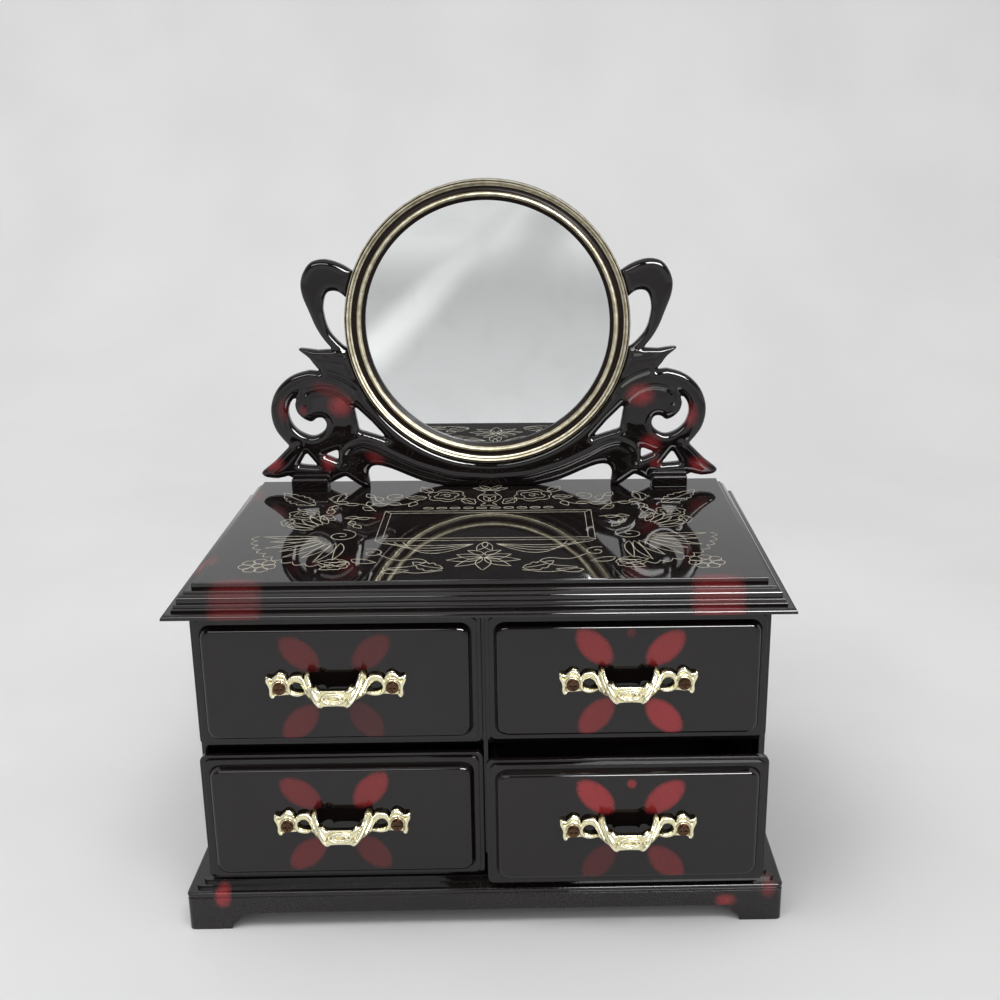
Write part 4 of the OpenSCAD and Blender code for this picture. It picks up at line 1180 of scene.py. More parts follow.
@dataclass
class Studio:
    """Pale sweep, soft light and the camera at the photograph's place."""

    eye: Triple = (15.604, -412.975, 262.475)
    pitch: float = 0.281
    yaw: float = -0.02652
    roll: float = 0.00077
    focal: float = 1200.24
    middle: Pair = (559.95, 465.71)
    image: float = 1000
    sensor: float = 36
    world: float = 0.74
    low_glow: float = 0.82
    high_glow: float = 0.07
    floor_half: float = 2600
    floor_front: float = -4200
    wall_y: float = 900
    wall_h: float = 2400
    sweep_r: float = 500
    sweep_faces: int = 24
    dim_front: Pair = (-0.15, -0.45)
    dim_low: Pair = (0.1, 0.28)
    dim_high: Pair = (0.85, 0.7)
    aim: Triple = (0, 0, 100)
    lamps: tuple[tuple[str, Triple, Pair, float, bool], ...] = (
        ("room_softbox", (-600, -300, 1500), (900, 900), 9.0, False),
        ("high_softbox", (340, -560, 1380), (380, 380), 4.0, False),
        ("right_strip", (420, -950, 760), (760, 300), 22.0, True),
        ("left_strip", (-420, -950, 760), (700, 200), 3.0, True),
    )

    def build(self) -> None:
        """Set the stage."""
        scene = bpy.context.scene
        scene.view_settings.view_transform = "Standard"
        self.camera(scene)
        self.floor()
        self.sky(scene)
        for row in self.lamps:
            self.lamp(*row)

    def camera(self, scene: bpy.types.Scene) -> None:
        """Stand the camera where the photograph was taken.

        Args:
            scene: the scene that it looks at.
        """
        data = bpy.data.cameras.new("photo_camera")
        data.sensor_width = self.sensor
        data.lens = self.focal * self.sensor / self.image
        data.shift_x = (self.image / 2 - self.middle[0]) / self.image
        data.shift_y = (self.middle[1] - self.image / 2) / self.image
        camera = bpy.data.objects.new("photo_camera", data)
        camera.location = [v * MM for v in self.eye]
        camera.rotation_euler = (math.pi / 2 - self.pitch, self.roll, self.yaw)
        scene.collection.objects.link(camera)
        scene.camera = camera

    def floor(self) -> None:
        """Lay the floor and sweep its far edge up into a wall."""
        deselect()
        bpy.ops.mesh.primitive_plane_add(size=2 * self.floor_half * MM)
        sweep = named(bpy.context.object, "pale_sweep")
        with editing(sweep):
            reach = (self.wall_y - self.floor_front) / (2 * self.floor_half)
            bpy.ops.transform.resize(value=(1, reach, 1))
            bpy.ops.transform.translate(value=(0, (self.wall_y + self.floor_front) / 2 * MM, 0))
            bpy.ops.mesh.select_all(action="DESELECT")
        for edge in sweep.data.edges:
            ends = [sweep.data.vertices[v].co.y for v in edge.vertices]
            edge.select = min(ends) > (self.wall_y - 1) * MM
        take(sweep)
        bpy.ops.object.mode_set(mode="EDIT")
        bpy.ops.mesh.select_mode(type="EDGE")
        bpy.ops.mesh.extrude_region_move(TRANSFORM_OT_translate={"value": (0, 0, self.wall_h * MM)})
        choose_all()
        bpy.ops.object.mode_set(mode="OBJECT")
        finish_with(sweep, "BEVEL", width=self.sweep_r * MM, segments=self.sweep_faces, limit_method="ANGLE",
                    angle_limit=CORNER_ANGLE)
        smooth(sweep)
        sweep.data.materials.append(PaleSweep("pale_matt_sweep").make())

    def sky(self, scene: bpy.types.Scene) -> None:
        """Give the room an even pale light, and gloss a room that is dim above the floor in front.

        Args:
            scene: the scene that it lights.
        """
        scene.world = bpy.data.worlds.new("pale_room")
        g = Graph(scene.world)
        axes = g.axes(g.add("ShaderNodeTexCoord").outputs["Generated"])
        dim = g.band(axes["Y"], *self.dim_front)
        for ends in (self.dim_low, self.dim_high):
            dim = g.times(dim, g.band(axes["Z"], *ends))
        glow = g.add("ShaderNodeMapRange", {"Value": dim, "To Min": self.low_glow, "To Max": self.high_glow})
        gloss = g.add("ShaderNodeLightPath").outputs["Is Glossy Ray"]
        level = g.add("ShaderNodeMix", {0: gloss, 2: self.world, 3: glow.outputs["Result"]})
        back = g.nodes["Background"]
        g.feed(back.inputs["Color"], (1, 1, 1, 1))
        g.feed(back.inputs["Strength"], level.outputs[0])

    def lamp(self, name: str, at: Triple, size: Pair, power: float, gloss: bool) -> None:
        """Hang a softbox that looks at the box.

        Args:
            name: its name.
            at: its place in mm.
            size: its width and height in mm.
            power: watts.
            gloss: whether it shows in gloss alone, or else lights alone.
        """
        data = bpy.data.lights.new(name, "AREA")
        data.shape = "RECTANGLE"
        data.size, data.size_y = size[0] * MM, size[1] * MM
        data.energy = power
        lamp = bpy.data.objects.new(name, data)
        lamp.visible_glossy, lamp.visible_diffuse = gloss, not gloss
        lamp.location = [v * MM for v in at]
        lamp.rotation_euler = (Vector(self.aim) - Vector(at)).to_track_quat("-Z", "Y").to_euler()
        bpy.context.scene.collection.objects.link(lamp)


@dataclass
class Carcass:
    """Plinth, sides, shelf, dividers and back of the case."""

    rounding: float = 0.45
    fine_rounding: float = 0.3
    corner_rounding: float = 1.7
    corner_reach: float = 6
    plinth_dabs: tuple[Dab, ...] = (
        Dab((-88.2, -64, 12.3), (3.6, 9, 5.2), 0, 0.85, 0.7),
        Dab((80.7, -64, 7.9), (4.8, 9, 3.4), 0, 0.8, 0.8),
        Dab((95.2, -64, 12.3), (3.6, 9, 5.4), 0, 0.42, 0.9),
    )

    def build(self) -> None:
        """Make and dress the case."""
        lacquer = Lacquer("case_lacquer").make()
        plinth = copy_of("plinth", "rounded_plinth")
        round_corners(plinth, self.corner_rounding, self.corner_reach)
        round_edges(plinth, self.rounding)
        # plinth haze of 0.1: dust and painted sheen
        dress(plinth, Lacquer("plinth_lacquer", self.plinth_dabs, 0.3, 0.1).make())
        place(plinth, "case", "plinth")
        for side in Side:
            node = f"case_{side.value}_side"
            rounded(node, f"rounded_{side.value}_side", self.fine_rounding, lacquer)
        for node in ("shelf", "upper_divider", "lower_divider"):
            repaint(node, lacquer)
        satin = SatinPlastic("satin_inner_plastic").make()
        rounded("back_panel", "rounded_back_panel", self.fine_rounding, satin)
        repaint("back_screws", STEEL.make())


@dataclass
class TopBoard:
    """Moulded top with its red dabs and a pale line ornament round a blank plate."""

    line_r: float = 0.14
    line_flat: float = 0.5
    plate_half: Pair = (38.4, 16.4)
    plate_y: float = -1.6
    plate_gap: float = 2.4
    arc_parts: int = 8
    arc_step: float = 12
    loop_parts: int = 6
    leaf_parts: int = 9
    lobe_parts: int = 5
    lobe_depth: float = 0.45
    taper: float = 0.8
    midrib_at: tuple[float, ...] = (0, 0.2, 0.4, 0.6, 0.75)
    dabs: tuple[Dab, ...] = (
        Dab((-77.6, -62, 116.8), (9.8, 10.5, 8), 8, 0.26, 0.9, Spray.PATCH),
        Dab((75.4, -62, 117), (10, 10.5, 8), -6, 0.42, 0.9, Spray.PATCH),
        Dab((-92.5, -36, 119), (7, 9, 5), 0, 0.55, 0.8),
        Dab((-92, 36, 121), (6, 14, 6), 0, 0.25, 0.9),
    )
    lines: list[tuple[Path2, bool]] = field(default_factory=list)

    def build(self) -> None:
        """Make and dress the top board and its ornament."""
        board = copy_of("top_board", "rounded_top_board")
        shade(board)
        # top haze of 0.05: dust and painted sheen
        dress(board, Lacquer("top_lacquer", self.dabs, 0.45, 0.05, 1.58).make())
        place(board, "case", "top_board")
        self.draw()
        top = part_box("top_board")[1].z / MM
        rows = []
        for line, closed in self.lines:
            rows.append((np.array([(x, y, top, self.line_r) for x, y in line]), closed))
        ornament = strands("top_line_ornament", rows, 0)
        with editing(ornament):
            bpy.ops.transform.resize(value=(1, 1, self.line_flat), center_override=(0, 0, top * MM))
        smooth(ornament)
        dress(ornament, PaleInk("pale_gilt_line").make())
        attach(ornament, "case")
        LOG.info("%s: %d lines", ornament.name, len(self.lines))

    def both(self, line: Path2, closed: bool = False) -> None:
        """Draw a line on the right half and its mirror on the left."""
        self.lines.append((line, closed))
        self.lines.append(([(-x, y) for x, y in line], closed))

    def draw(self) -> None:
        """Draw the plate and the scrolls, leaves and flowers round it."""
        self.plate()
        self.back_border()
        self.front_border()
        self.flanks()

    def plate(self) -> None:
        """Draw the blank plate: two lines and a short line across each corner of its frame."""
        w, h = self.plate_half
        quarters = ((1, 1), (-1, 1), (-1, -1), (1, -1))
        for gap in (0, self.plate_gap):
            corners = [(sx * (w - gap), self.plate_y + sy * (h - gap)) for sx, sy in quarters]
            self.lines.append((corners, True))
        for sy in (-1, 1):
            inner = (w - self.plate_gap, self.plate_y + sy * (h - self.plate_gap))
            self.both([(w, self.plate_y + sy * h), inner])

    def arc(self, at: Pair, r: float, start: float, sweep: float, r_end: float | None = None,
            loops: int = 0, bulge: float = 0) -> Path2:
        """Arc, spiral or row of loops along an arc.

        Args:
            at: the centre.
            r: its first radius.
            start: its first angle in degrees.
            sweep: how many degrees it turns.
            r_end: its last radius, or None for the first.
            loops: how many loops it has.
            bulge: how far a loop stands out.

        Returns:
            Its points.
        """
        count = self.loop_parts * loops or max(self.arc_parts, int(abs(sweep) / self.arc_step))
        last = r if r_end is None else r_end
        line = []
        for t in [i / count for i in range(count + 1)]:
            radius = r + (last - r) * t**self.taper + bulge * abs(math.sin(math.pi * t * loops))
            line.append(self.turned(at, start + sweep * t, radius))
        return line

    @staticmethod
    def turned(at: Pair, turn: float, along: float, across: float = 0) -> Pair:
        """Point that lies along and across a direction from another point.

        Args:
            at: the other point.
            turn: the direction in degrees.
            along: how far along it.
            across: how far to the left of it.

        Returns:
            The point.
        """
        cos, sin = math.cos(math.radians(turn)), math.sin(math.radians(turn))
        return at[0] + along * cos - across * sin, at[1] + along * sin + across * cos

    def leaf(self, at: Pair, turn: float, length: float, width: float, curl: float = 0,
             lobes: int = 0) -> None:
        """Draw a pointed leaf and its mirror, and its midrib if it has lobes.

        Args:
            at: where it starts.
            turn: the way it points, in degrees.
            length: its length.
            width: half its width.
            curl: how far its tip bends, in degrees.
            lobes: how many lobes each edge has.
        """
        count = self.lobe_parts * lobes or self.leaf_parts
        edges: list[Path2] = [[], []]
        for t in [i / count for i in range(count + 1)]:
            wave = 1 + self.lobe_depth * abs(math.sin(math.pi * lobes * t))
            across = width * wave * math.sin(math.pi * t**self.taper)
            for edge, side in zip(edges, (1, -1)):
                edge.append(self.turned(at, turn + curl * t, length * t, side * across))
        self.both(edges[0] + edges[1][-2:0:-1], True)
        if lobes:
            self.both([self.turned(at, turn + curl * t, length * t) for t in self.midrib_at])

    def flower(self, at: Pair, r: float, petals: int) -> None:
        """Draw a round flower and its mirror.

        Args:
            at: its centre.
            r: its radius.
            petals: how many petals it has.
        """
        core, eye, wide, blunt = 0.26, 0.3, 0.36, 0.92
        petal = []
        for t in (0.0, 0.25, 0.5, 0.72, 0.9, 1.0):
            across = wide * math.sin(math.pi * min(1, t * blunt)) ** self.taper
            petal.append((r * (eye + (1 - eye) * t), r * across))
        outline = petal + [(along, -across) for along, across in petal[-2:0:-1]]
        for i in range(petals):
            turn = 360 / petals * i + 90
            self.both([self.turned(at, turn, *point) for point in outline], True)
        self.both(self.arc(at, r * core, 0, 345), True)

    def rose(self, at: Pair, r: float) -> None:
        """Draw an open rose and its mirror: a curl in two rings of round petals.

        Args:
            at: its centre.
            r: its radius.
        """
        self.both(self.arc(at, r * 0.3, 0, 420, r * 0.08))
        for share, petals, start in ((0.46, 4, 20), (0.8, 6, 50)):
            self.both(self.arc(at, r * share, start, 360, None, petals, r * 0.2))

    def stem(self, knots: Sequence[Pair], parts: int) -> Path2:
        """Draw a smooth line through points and its mirror.

        Args:
            knots: the points.
            parts: how many pieces each span is cut into.

        Returns:
            The line.
        """
        line = [(x, y) for x, y in flowing(knots, parts)]
        self.both(line)
        return line

    def vine(self, knots: Sequence[Pair], length: float, width: float, gap: float) -> None:
        """Draw a stem with leaves on both sides by turns, and its mirror.

        Args:
            knots: points that the stem runs through.
            length: a leaf's length.
            width: half a leaf's width.
            gap: how far apart the leaves are along the stem.
        """
        lead, spread, curl = 0.6, 52, 26
        stem = self.stem(knots, 8)
        walked, side = gap * lead, 1
        for start, end in zip(stem, stem[1:]):
            run, rise = end[0] - start[0], end[1] - start[1]
            walked += math.hypot(run, rise)
            if walked >= gap:
                walked, side = 0.0, -side
                turn = math.degrees(math.atan2(rise, run)) + side * spread
                self.leaf(end, turn, length, width, -side * curl)

    def fan(self, at: Pair, turns: Pair, reach: Pair, count: int, width: float) -> None:
        """Draw long narrow leaves that spread from a point, and their mirror.

        Args:
            at: the point.
            turns: the first and the last leaf's way, in degrees.
            reach: where the leaves start and end from the point.
            count: how many leaves there are.
            width: half a leaf's width.
        """
        short, curl = 0.86, 10
        for i in range(count):
            turn = turns[0] + (turns[1] - turns[0]) * i / (count - 1)
            length = (reach[1] - reach[0]) * (1 if i % 2 else short)
            self.leaf(self.turned(at, turn, reach[0]), turn, length, width, curl)

    def back_border(self) -> None:
        """Draw the vase behind the plate, a row of beads, two roses and leafy sprays."""
        y = self.plate_y + self.plate_half[1] + 3.4
        around = [math.tau * i / 12 for i in range(12)]
        for i in range(5):
            self.both([(2.6 + i * 5 + 1.9 * math.cos(a), y + math.sin(a)) for a in around], True)
        vase = (
            (3, 3), (2.6, 4.4), (1.4, 6.2), (3.2, 8.8), (4.6, 12.5), (3.8, 16), (2, 19), (2.2, 20.6),
            (3.8, 22),
        )
        self.stem([(x, y + up) for x, up in vase], 4)
        for up, half in ((3, 3), (16, 3.8), (22, 3.8)):
            self.lines.append(([(-half, y + up), (half, y + up)], False))
        self.leaf((0, y + 8), 72, 7, 1.2)
        for turn, length in ((74, 8), (40, 7)):
            self.leaf((0.6, y + 22), turn, length, 1.5, -14)
        rose = (16.8, y + 15.5)
        self.rose(rose, 7.6)
        for turn in (215, 345, 40):
            self.leaf(self.turned(rose, turn, 7.8), turn, 8, 2, 16, 3)
        spray = ((27, 10), (32, 5), (38, 5), (43, 10), (45, 17))
        self.vine([(x, y + up) for x, up in spray], 5.8, 1.6, 5.2)
        self.both(self.arc((36, y + 15), 5, 250, 430, 1))

    def front_border(self) -> None:
        """Draw the palmette before the plate, its drapes and two leaf scrolls."""
        y = self.plate_y - self.plate_half[1]
        self.leaf((0, y - 17), 270, 12, 2.6)
        for turn, length in ((302, 12), (334, 12), (4, 9)):
            self.leaf((0.6, y - 17), turn, length, 2.3, 14)
        self.leaf((0.5, y - 15), 62, 7, 1.5, -20)
        self.leaf((0.5, y - 2), 250, 9, 1.6)
        for i in range(4):
            sag, x0 = 2.6 + 2.6 * i, 37.5 - 3 * i
            drape = []
            for t in [j / 14 for j in range(15)]:
                fall = 1.4 + sag * math.sin(math.pi * t**self.taper) + 2.5 * t
                drape.append((x0 - t * (x0 - 4), y - fall))
            self.both(drape)
        scroll = ((36, 13), (29, 19), (22, 18), (19, 21), (24, 25), (31, 27), (22, 31), (13, 29))
        self.stem([(x, y - down) for x, down in scroll], 6)
        self.leaf((13, y - 27), 8, 12, 2.6, 22, 4)
        self.leaf((33, y - 29), 195, 9, 1.9, -18)
        self.both(self.arc((38, y - 12), 4.4, 60, 430, 0.9))

    def flanks(self) -> None:
        """Draw a spread of long leaves on each side of the plate, with scrolls, roses and a looped edge."""
        shell, rose, spray = (51, -12), (68, 12), (45, -38)
        self.fan(shell, (262, 352), (8, 27), 8, 1.5)
        self.both(self.arc(shell, 28.5, 258, 102, None, 11, 2.2))
        self.both(self.arc(shell, 6.4, 90, 560, 0.8))
        self.fan((54, -6), (8, 62), (8, 20), 5, 1.4)
        self.vine(((42, 15), (46, 22), (53, 25), (59, 21), (57, 15)), 5.8, 1.6, 4.6)
        self.leaf((66, 23), 40, 22, 3.2, 8, 6)
        self.leaf((58, 27), 75, 11, 2.2, 25, 4)
        self.vine(((41, 7), (47, 8), (50, 3), (46, -1)), 4.8, 1.4, 4.2)
        self.leaf(spray, 300, 11, 2.6, 20, 4)
        self.leaf(spray, 345, 10, 2.4, 15, 4)
        self.leaf((44, -36), 215, 9, 2, -15)
        self.rose(rose, 6)
        for turn, curl in ((200, 18), (300, -18)):
            self.leaf(self.turned(rose, turn, 6.4), turn, 8, 1.9, curl, 3)
        self.flower((74, -41), 6.2, 7)


@dataclass
class MirrorStand:
    """Carved scroll stand, the round mirror in its banded ring, and what holds them."""

    axis_z: float = 186.5
    back_y: float = 50.0
    ring_out_r: float = 54.9
    ring_in_r: float = 47.0
    rebate_r: float = 49.0
    ring_d: float = 4.6
    lip_d: float = 2.8
    lip_t: float = 1.0
    outer_bead_r: float = 1.0
    inner_bead_r: float = 0.8
    bead_at: float = 48.6
    cove: float = 0.5
    cove_at: tuple[float, ...] = (0.2, 0.4, 0.6, 0.8)
    bead_parts: int = 8
    back_edge: float = 0.4
    turns: int = 160
    stand_t: float = 4.8
    board_top: float = 121.7
    voxel: float = 0.55
    edge_r: float = 2.7
    edge_drop: float = 1.5
    wall_reach: float = 3.2
    ridge_h: float = 0.3
    ridge_w: float = 0.9
    groove_share: float = 0.45
    groove_at: float = 1.9
    ridge_start: Pair = (0.3, 1.4)
    rise: float = 0.35
    back_share: float = 0.6
    foot_y: float = -0.5
    smoothing: int = 2
    ridges: tuple[tuple[Pair, ...], ...] = (
        ((-72.4, 34.0), (-72.6, 36.8), (-70.9, 39.2), (-67.8, 40.3), (-63.9, 40.7), (-59.7, 39.5),
         (-55.9, 37.1), (-53.0, 33.5), (-51.6, 29.5), (-51.4, 25.4), (-52.7, 22.2)),
        ((-64.7, 47.4), (-60.5, 46.2), (-55.6, 44.2), (-51.1, 41.0), (-47.4, 37.4)),
        ((-54.5, 17.3), (-50.2, 18.5), (-44.8, 16.9), (-39.4, 14.0), (-34.3, 11.5), (-28.5, 8.9),
         (-21.8, 6.8), (-14.0, 4.7), (0, 3.6)),
        ((-58.0, 10.0), (-57.9, 13.7), (-55.8, 16.5), (-52.5, 18.1)),
        ((-69.2, 56.0), (-64.6, 54.9), (-59.3, 54.1), (-54.0, 53.6)),
        ((-86.9, 7.7), (-82.8, 10.6), (-78.6, 15.0), (-75.7, 17.5)),
    )
    dabs: tuple[Dab, ...] = (
        Dab((-58, 45, 155.4), (6.6, 9, 6.4), 0, 0.8, 0.9),
        Dab((-62, 45, 161), (10, 9, 4), -20, 0.3, 0.9),
        Dab((-80.2, 45, 153.5), (3.6, 9, 7), 0, 0.3, 0.9),
        Dab((-72.5, 45, 153.5), (2.6, 9, 3), 0, 0.4, 0.9),
        Dab((-63.9, 45, 132.3), (3.8, 9, 5.4), 0, 0.65, 0.9),
        Dab((-84.8, 45, 131.2), (5.4, 9, 4), 30, 0.6, 0.9),
        Dab((-45.3, 45, 133.9), (6, 9, 3.2), -30, 0.4, 0.9),
        Dab((59.1, 45, 158.8), (7.6, 9, 6.2), 0, 0.8, 0.9),
        Dab((63.5, 45, 138.5), (6, 9, 6), 0, 0.7, 0.9),
        Dab((79, 45, 150.6), (4.4, 9, 7), 0, 0.6, 0.9),
        Dab((83, 45, 130), (6, 9, 4.4), -30, 0.7, 0.9),
        Dab((66, 45, 131), (4, 9, 3), 0, 0.5, 0.9),
    )

    def build(self) -> None:
        """Make and dress the mirror and its stand."""
        self.stand()
        self.ring()
        repaint("mirror_glass", SilveredGlass("silvered_glass").make())
        repaint("mirror_backing", SatinPlastic("matt_backing").make())
        repaint("stand_screws", STEEL.make())

    def stand(self) -> None:
        """Carve the stand: rounded edges, a rim along them and the ridges of its leaves."""
        stand = copy_of("scroll_stand", "carved_scroll_stand")
        front = self.back_y - self.stand_t
        rim = self.rim_lines(stand, front)
        ridges = []
        for line in self.ridges:
            path = flowing(line, 5)
            path[:, 1] += self.board_top
            for sx in (-1, 1):
                side = path * (sx, 1)
                ridges.append(np.hstack([side[:-1], side[1:]]))
        fuse(stand, self.voxel, 0)
        points = points_of(stand)
        flat = points[:, [0, 2]]
        from_rim = distance_to(flat, rim)
        from_ridge = distance_to(flat, np.vstack(ridges))
        depth = points[:, 1] - front
        fall = np.clip(1 - from_rim / self.edge_r, 0, 1)
        edge = self.edge_drop * (1 - np.sqrt(1 - fall**2))
        groove = np.exp(-(((from_ridge - self.groove_at * self.ridge_w) / self.ridge_w) ** 2))
        crest = np.exp(-((from_ridge / self.ridge_w) ** 2)) - self.groove_share * groove
        drop = edge - self.ridge_h * crest * step(from_rim, *self.ridge_start)
        near = np.clip(1 - depth / self.wall_reach, 0, 1)
        far = np.clip(1 - (self.stand_t - depth) / self.wall_reach, 0, 1)
        shift = np.maximum(drop, -self.rise) * near - self.back_share * edge * far
        points[:, 1] += np.where(depth > self.foot_y, shift, 0)
        points[:, 2] = np.maximum(points[:, 2], self.board_top)
        set_points(stand, points)
        smooth(stand, self.smoothing)
        dress(stand, Lacquer("stand_lacquer", self.dabs, 0.2).make())
        place(stand, "case", "scroll_stand")

    @staticmethod
    def rim_lines(stand: Piece, front: float) -> np.ndarray:
        """Outline of the stand's front face.

        Args:
            stand: the flat stand.
            front: where its front face lies, in mm.

        Returns:
            Rows of (x0, z0, x1, z1) in mm.
        """
        uses: Counter[tuple[int, int]] = Counter()
        for face in stand.data.polygons:
            if face.normal.y < -0.9 and abs(face.center.y / MM - front) < 0.1:
                uses.update(face.edge_keys)
        at = points_of(stand)
        return np.array([(*at[a][[0, 2]], *at[b][[0, 2]]) for (a, b), n in uses.items() if n == 1])

    def profile(self) -> list[Pair]:
        """Return the ring's section as (radius, depth from its back), from the rebate round to the back."""
        inner_c = self.bead_at + self.inner_bead_r
        outer_c = self.ring_out_r - self.outer_bead_r
        section = [(self.rebate_r, 0), (self.rebate_r, self.lip_d), (self.ring_in_r, self.lip_d),
                   (self.ring_in_r, self.lip_d + self.lip_t), (self.bead_at, self.ring_d)]
        low, high = inner_c + self.inner_bead_r, outer_c - self.outer_bead_r
        wide, deep = high - low, self.cove
        cove = [(low + wide * t, self.ring_d - deep * math.sin(math.pi * t)) for t in self.cove_at]
        sweep = [math.pi * (1 - i / self.bead_parts) for i in range(self.bead_parts + 1)]
        for before, centre, r in (([], inner_c, self.inner_bead_r), (cove, outer_c, self.outer_bead_r)):
            section += before + [(centre + r * math.cos(a), self.ring_d + r * math.sin(a)) for a in sweep]
        return section + [(self.ring_out_r, self.back_edge), (self.ring_out_r - self.back_edge, 0)]

    def ring(self) -> None:
        """Turn the ring from its section."""
        deselect()
        bpy.ops.mesh.primitive_plane_add(size=MM)
        ring = named(bpy.context.object, "turned_mirror_ring")
        section = self.profile()
        with editing(ring):
            bpy.ops.mesh.merge(type="CENTER")
            r, d = section[0]
            bpy.ops.transform.translate(value=(r * MM, (self.back_y - d) * MM, self.axis_z * MM))
            for (r0, d0), (r1, d1) in zip(section, section[1:]):
                move = {"value": ((r1 - r0) * MM, (d0 - d1) * MM, 0)}
                bpy.ops.mesh.extrude_region_move(TRANSFORM_OT_translate=move)
            choose_all()
            bpy.ops.mesh.edge_face_add()
            choose_all()
            bpy.ops.mesh.delete(type="ONLY_FACE")
            choose_all()
            centre = (0, self.back_y * MM, self.axis_z * MM)
            bpy.ops.mesh.spin(steps=self.turns, angle=math.tau, center=centre, axis=(0, 1, 0))
            choose_all()
            bpy.ops.mesh.remove_doubles(threshold=MERGE)
            bpy.ops.mesh.normals_make_consistent(inside=False)
        take(ring)
        bpy.ops.object.shade_smooth_by_angle(angle=SMOOTH_ANGLE)
        finish = BandedRing("gilt_banded_ring", self.axis_z, self.back_y - self.ring_d)
        dress(ring, finish.make())
        place(ring, "case", "mirror_ring")


@dataclass
class PullCasting:
    """Cast drawer pull: scrolling leaf strands on a bowed plate, modelled once for the four drawers."""

    node: str = "drawer_pull_upper_left"
    end: float = 18.0
    pad: float = 6.5
    plaque_half: float = 4.8
    bow: float = 6.5
    thick: float = 2.0
    relief: float = 0.65
    voxel: float = 0.2
    boss_r: float = 2.2
    boss_faces: int = 40
    plaque_z: float = -1.05
    plaque_rings: tuple[Triple, ...] = ((3.5, 1.75, 0.4), (2.3, 0.95, 0.42))
    plaque_parts: int = 28
    front_slope: float = -0.3
    strand_parts: int = 5
    strand_sides: int = 3
    smoothing: int = 2
    hollow_reach: int = 5
    # way of the faces that get painted shade on the pull's back and partly on its tops
    painted_shade_back_way: Triple = (0, 0.97, 0.25)
    right_half: tuple[tuple[bool, tuple[Triple, ...]], ...] = (
        (True, ((15.4, 0, 0.65), (14.4, 2.1, 0.75), (12.3, 2.6, 0.8), (10.5, 1.3, 0.7), (9.3, -0.9, 0.65),
                (10.6, -2.2, 0.7), (12.5, -2.7, 0.75), (14.6, -2.1, 0.7))),
        (False, ((15.1, 2.2, 0.35), (14.2, 3.2, 0.55), (12.3, 3.6, 0.6), (10.8, 3, 0.55), (9.9, 1.6, 0.5),
                 (9, 0, 0.5), (8, -1.3, 0.45))),
        (False, ((9, 5.2, 0.35), (8.9, 3.9, 0.6), (8.1, 1.7, 0.65), (7, -0.4, 0.65), (5.8, -2.2, 0.6),
                 (4.6, -3.6, 0.4))),
        (False, ((8.2, 5.2, 0.35), (7.8, 3.6, 0.55), (6.9, 1.5, 0.6), (5.8, -0.5, 0.55), (4.7, -2, 0.4))),
        (False, ((7, 2.3, 0.35), (6, 2.2, 0.5), (5, 1.5, 0.5), (3.9, 1.1, 0.4))),
        (False, tuple((18 + 2.7 * math.cos(a), 2.7 * math.sin(a), 0.5) for a in
                      [math.pi * (-0.1 + 1.2 * i / 10) for i in range(11)])),
        (False, ((15.9, 2.6, 0.35), (16.5, 3.6, 0.6), (18, 4.2, 0.7), (19.4, 3.4, 0.6), (20.2, 2.8, 0.35))),
        (False, ((20.1, 2.7, 0.35), (21.4, 2.9, 0.65), (21.8, 2.1, 0.7), (21.2, 0.5, 0.6), (20.9, -1, 0.55),
                 (20.9, -2.4, 0.65), (20.5, -3.4, 0.6), (19.9, -2.9, 0.35))),
        (False, ((9.4, -1.5, 0.45), (8, -1.8, 0.55), (6.4, -1.9, 0.5), (5, -2.9, 0.6), (4.2, -3.8, 0.45))),
    )
    piece: Piece | None = None

    def off(self, x: np.ndarray) -> np.ndarray:
        """How far the plate's back stands off the drawer at x."""
        return self.bow * step(self.end - self.pad - np.abs(x), 0, self.end - self.pad - self.plaque_half)

    def on_bow(self, middle: np.ndarray, x: np.ndarray, z: np.ndarray, r: np.ndarray) -> np.ndarray:
        """Lay a strand on the bowed plate.

        Args:
            middle: the middle of the pull on the drawer's face, in mm.
            x: its points along the pull.
            z: its points up from the middle.
            r: its radius at each point.

        Returns:
            Rows of (x, y, z, radius) in mm.
        """
        y = -self.off(x) - self.thick + r
        return np.column_stack([x + middle[0], y + middle[1], z + middle[2], r])

    def origin(self) -> np.ndarray:
        """Middle of the pull on the drawer's face, in mm."""
        low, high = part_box(self.node)
        screw = sum(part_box(self.node.replace("drawer_pull", "pull_screws")), Vector()) / 2
        return np.array(((low.x + high.x) / 2, high.y, screw.z)) / MM

    def build(self) -> None:
        """Cast the pull of the upper left drawer."""
        o = self.origin()
        plate = copy_of(self.node, "pull_plate")
        for face in plate.data.polygons:
            face.select = face.normal.y < self.front_slope
        take(plate)
        bpy.ops.object.mode_set(mode="EDIT")
        bpy.ops.transform.translate(value=(0, self.relief * MM, 0))
        bpy.ops.object.mode_set(mode="OBJECT")
        lines = []
        for closed, knots in self.right_half:
            path = flowing(knots, self.strand_parts, closed)
            for sx in (-1, 1):
                lines.append((self.on_bow(o, sx * path[:, 0], path[:, 1], path[:, 2]), closed))
        around = np.linspace(0, math.tau, self.plaque_parts, endpoint=False)
        for a, b, r in self.plaque_rings:
            x, z = a * np.cos(around), self.plaque_z + b * np.sin(around)
            lines.append((self.on_bow(o, x, z, np.full(len(x), r)), True))
        parts = [plate, strands("pull_strands", lines, self.strand_sides)]
        for sx in (-1, 1):
            deselect()
            bpy.ops.mesh.primitive_cylinder_add(
                vertices=self.boss_faces, radius=self.boss_r * MM, depth=self.thick * MM,
                rotation=(math.pi / 2, 0, 0),
                location=((o[0] + sx * self.end) * MM, (o[1] - self.thick / 2) * MM, o[2] * MM),
            )
            settle()
            parts.append(bpy.context.object)
        self.piece = joined(parts, "cast_pull_upper_left")
        fuse(self.piece, self.voxel, self.smoothing)
        mark_hollows(self.piece, self.hollow_reach, self.painted_shade_back_way)
        dress(self.piece, CastGold("pale_gold_plating").make())

